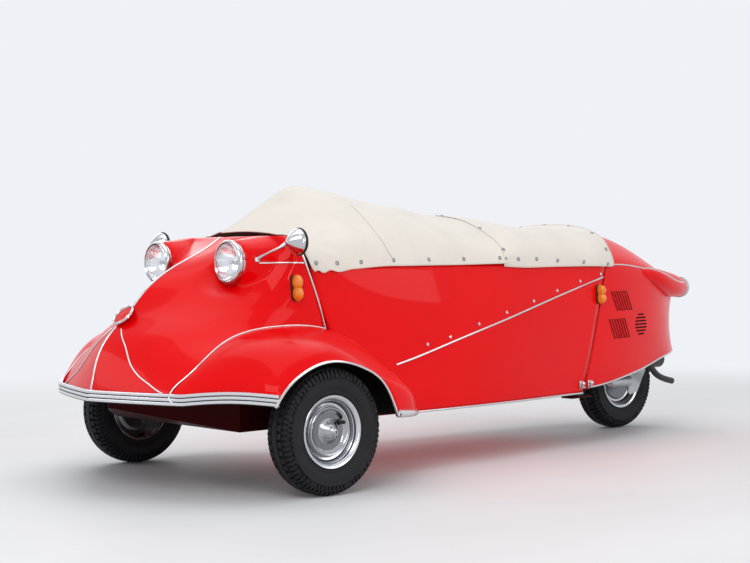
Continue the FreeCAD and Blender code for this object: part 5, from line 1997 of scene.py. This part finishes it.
    def bumper(self) -> None:
        """Makes the three-ribbed strip and the dark lines between its ribs."""
        line = self.bumper_line()
        section = [(-3.0, 0)]
        for low in self.ribs:
            section += [(3.0, low), (6.2, low + 1.2), (7.4, low + 5.5), (6.2, low + 9.8), (3.0, low + 11)]
        section.append((-3.0, 36))
        along = np.vstack([line[1] - line[0], line[2:] - line[:-2], line[-1] - line[-2]])[:, :2]
        out = np.stack([along[:, 1], -along[:, 0]], 1) / np.linalg.norm(along, axis=1)[:, None]
        out[0] = (0, -1)
        grid = [[(x + out_x * deep, y + out_y * deep + FRONT, self.bumper_foot + up + rise)
                 for deep, up in section] for (x, y, rise), (out_x, out_y) in zip(line, out)]
        bm = panel(np.array(grid))
        both_halves(bm)
        bmesh.ops.holes_fill(bm, edges=[e for e in bm.edges if e.is_boundary])
        face_outwards(bm, Vector((0, FRONT - 300, 310)) * MM)
        keep(bm, "ribbed_bumper", self.stock.strip, BODY, sharp=40, stands_for=["bumper_strip"])
        lines = []
        for deep, up, radius in ((4.6, 11.9, 1.9), (4.6, 24.3, 1.9), (2.6, 0.6, 2.6)):
            shift = (deep * 0.35, FRONT - deep * 0.94, self.bumper_foot + up)
            lines.append(rod_mesh(line + shift, radius, 1))
        keep(both_sides(merge(lines)), "bumper_grooves", self.stock.seal, BODY)

    def catches(self, tub: Surface) -> None:
        """Makes a bright catch at the foot of the tail's seam, half of it on the tub and half on the tail.

        Args:
            tub: the tub's surface.
        """
        for label, y, sunk, body in (("tub", 1431, 0, BODY), ("tail", 1481, 1.0, TAIL_BODY)):
            spot = tub.side(min(y, 1440) + FRONT, 236, 3)
            spot.y = y + FRONT
            spot.x -= sunk
            knob = bmesh.new()
            bmesh.ops.create_uvsphere(knob, u_segments=20, v_segments=12, radius=8.5 * MM)
            bmesh.ops.translate(knob, vec=(spot + Vector((9, 0, 5))) * MM, verts=knob.verts)
            pin = rod_mesh([spot + Vector((8, end, -9)) for end in (-9, 9)], 4.0)
            left = merge([block(spot, (8, 24, 30), 3), knob, pin])
            keep(both_sides(left), f"{label}_catch", self.stock.chrome, body, sharp=50)

    def underside(self) -> None:
        """Makes the dampers, the exhaust, the catches' brackets and the jacking plates."""
        damper = rod_mesh([(122, y + FRONT, 204) for y in (1852, 1860, 1975, 1984)], [15, 22, 22, 18], 4)
        keep(both_sides(damper), "rear_damper", self.stock.cast, BODY, sharp=40)
        can = rod_mesh([(146, REAR + y, 290) for y in (-150, -140, 110, 120)], [30, 36, 36, 28], 6)
        pipe = rod_mesh(smooth_path(self.exhaust_pipe, 20) + (0, FRONT, 0), 13, 4)
        hanger = block(Vector((146, REAR + 60, 350)), (8, 40, 100), 2)
        keep(merge([can, pipe, hanger]), "exhaust_can", self.stock.black, BODY, sharp=40,
             stands_for=["exhaust"])
        bracket = block(Vector((318, 1436 + FRONT, 203)), (26, 34, 18), 3)
        keep(both_sides(bracket), "catch_bracket", self.stock.black, BODY, sharp=40)
        # the jacking plates wear the red darkened as painted shade
        plate = block(Vector((294, 1452 + FRONT, 187)), (56, 112, 8), 2)
        keep(both_sides(plate), "jacking_plate", self.stock.red_shaded, BODY, sharp=40)


# ------------------------------------------------------------------ CAD nodes that stay, and the studio


def dress_frame_nodes(stock: Stock) -> None:
    """Gives the CAD nodes that stay in view their finishes.

    Args:
        stock: the finishes.
    """
    plain = ("front_axle", "knuckle_left", "knuckle_right", "tie_rod_left", "tie_rod_right",
             "steering_column", "main_frame", "rear_mudguard")
    # the belly pan wears the red darkened as painted shade
    finishes = {"belly_pan": stock.red_shaded, "swing_arm": stock.cast, "engine_block": stock.cast}
    for name, finish in {**finishes, **dict.fromkeys(plain, stock.black)}.items():
        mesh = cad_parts[name].data
        mesh.materials.clear()
        mesh.materials.append(finish)
        LOG.info("dressed %s", name)


def seen_directly(tree: bpy.types.NodeTree) -> Socket:
    """Tells the rays that look at the backdrop from those that only light the car.

    Args:
        tree: the node tree the nodes are made in.

    Returns:
        1 for rays from the camera and for those that come off metal or through glass.
    """
    path = tree.nodes.new("ShaderNodeLightPath")
    seen = path.outputs["Is Camera Ray"]
    for name in ("Is Glossy Ray", "Is Transmission Ray"):
        either = tree.nodes.new("ShaderNodeMath")
        either.operation = "MAXIMUM"
        tree.links.new(seen, either.inputs[0])
        tree.links.new(path.outputs[name], either.inputs[1])
        seen = either.outputs[0]
    return seen


@dataclass
class Studio:
    """Pale floor and backdrop, soft lamps and the camera, with its places in metres."""

    lens: float = 73.14
    place: Row = (4.17695, -3.86574, 0.74018)
    azimuth: float = 48.74
    elevation: float = 1.01
    roll: float = -0.66
    floor_reach: float = 30.0
    fade: tuple[float, float] = (2.4, 4.7)
    boxes: tuple[tuple[str, Row, Row, Row, float], ...] = (
        # name, place, what it looks at, width and height, power
        ("key", (3.2, -4.2, 4.2), (0, -0.2, 0.4), (3.2, 2.4), 84),
        ("fill", (5.2, 2.4, 2.6), (0, 0.4, 0.5), (3.6, 2.6), 58),
        ("top", (0.0, 0.2, 4.6), (0, 0.2, 0), (4.0, 5.0), 66),
        ("rim", (-4.2, 1.5, 3.0), (0, 0, 0.6), (3.0, 2.4), 44),
        ("front", (-2.4, -5.2, 2.4), (0, -0.6, 0.5), (2.6, 2.0), 34),
        ("streak", (4.3, -1.7, 1.25), (0.3, -0.9, 0.55), (0.3, 1.7), 16),
    )
    world_light: float = 0.55

    def build(self) -> None:
        """Sets up the camera, the floor and the lights."""
        self.camera()
        self.floor()
        self.lights()
        bpy.context.scene.view_settings.view_transform = "Standard"

    def camera(self) -> None:
        """Camera at the chosen viewing angle."""
        data = bpy.data.cameras.new("camera")
        data.lens = self.lens
        data.sensor_width = 36
        data.clip_end = 100
        camera = bpy.data.objects.new("camera", data)
        bpy.context.scene.collection.objects.link(camera)
        az, el, roll = (math.radians(v) for v in (self.azimuth, self.elevation, self.roll))
        back = Vector((math.sin(az) * math.cos(el), -math.cos(az) * math.cos(el), math.sin(el)))
        right = (-back).cross(Vector((0, 0, 1))).normalized()
        up = back.cross(right)
        turned_right = right * math.cos(roll) + up * math.sin(roll)
        turned_up = up * math.cos(roll) - right * math.sin(roll)
        matrix = Matrix((turned_right, turned_up, back)).transposed().to_4x4()
        matrix.translation = Vector(self.place)
        camera.matrix_world = matrix
        bpy.context.scene.camera = camera

    def floor_paint(self) -> Material:
        """Pale grey that turns into the backdrop's colour away from the car.

        Returns:
            The material.
        """
        s = Shader("studio_floor", (0.80, 0.80, 0.80), 0.6)
        s.set(Base_Color=s.ramp(s.noise(1.5), [(0.3, (0.78, 0.78, 0.78)), (0.7, (0.82, 0.82, 0.82))]),
              Specular_IOR_Level=0.25)
        reach = s.node("VectorMath", s.where)
        reach.operation = "LENGTH"
        near, far = self.fade
        fade = s.node("MapRange", Value=reach.outputs["Value"], From_Min=near, From_Max=far)
        fade.interpolation_type = "SMOOTHSTEP"
        share = s.sum_up("MULTIPLY", fade.outputs["Result"], seen_directly(s.tree))
        glow = s.node("Emission", Color=BACKDROP)
        paint = s.node("MixShader", share, s.surface.outputs[0], glow.outputs[0])
        s.feed(s.tree.nodes["Material Output"].inputs["Surface"], paint.outputs[0])
        return s.material

    def floor(self) -> None:
        """Floor that keeps the car's shadow."""
        bm = bmesh.new()
        bmesh.ops.create_grid(bm, x_segments=1, y_segments=1, size=self.floor_reach)
        mesh = bpy.data.meshes.new("floor")
        bm.to_mesh(mesh)
        bm.free()
        mesh.materials.append(self.floor_paint())
        floor = bpy.data.objects.new("floor", mesh)
        bpy.context.scene.collection.objects.link(floor)

    def lights(self) -> None:
        """Large soft boxes over and beside the car, and a pale world."""
        for name, spot, aim, size, power in self.boxes:
            data = bpy.data.lights.new(name, "AREA")
            data.shape = "RECTANGLE"
            data.size, data.size_y = size
            data.energy = power
            lamp = bpy.data.objects.new(name, data)
            lamp.location = spot
            way = Vector(aim) - Vector(spot)
            lamp.rotation_euler = way.to_track_quat("-Z", "Y").to_euler()
            bpy.context.scene.collection.objects.link(lamp)
        world = bpy.data.worlds.new("studio")
        bpy.context.scene.world = world
        world.use_nodes = True
        tree = world.node_tree
        background = tree.nodes["Background"]
        background.inputs["Color"].default_value = BACKDROP
        level = tree.nodes.new("ShaderNodeMapRange")
        level.inputs["To Min"].default_value = self.world_light
        level.inputs["To Max"].default_value = 1.0
        tree.links.new(seen_directly(tree), level.inputs["Value"])
        tree.links.new(level.outputs["Result"], background.inputs["Strength"])


def main() -> None:
    """Builds the car's pieces in order."""
    stock = Stock()
    Studio().build()
    nose = Nose(stock.red).build()
    Fenders(stock.red, stock.bright, stock.strip, stock.red_shaded).build(nose)
    tub = Tub(stock.red).build()
    tail = Tail(stock.red, stock.dark).build()
    cover = Cover(stock.canvas, stock.binding, stock.stud, stock.thread).build()
    Bag(stock.canvas, stock.binding, stock.stud).build(cover)
    for corner in Corner:
        Wheel(corner, stock).build()
    Lamps(stock).build(nose, tub)
    Mirrors(stock).build()
    Trim(stock).build(nose, tub, tail)
    dress_frame_nodes(stock)


if __name__ == "__main__":
    main()
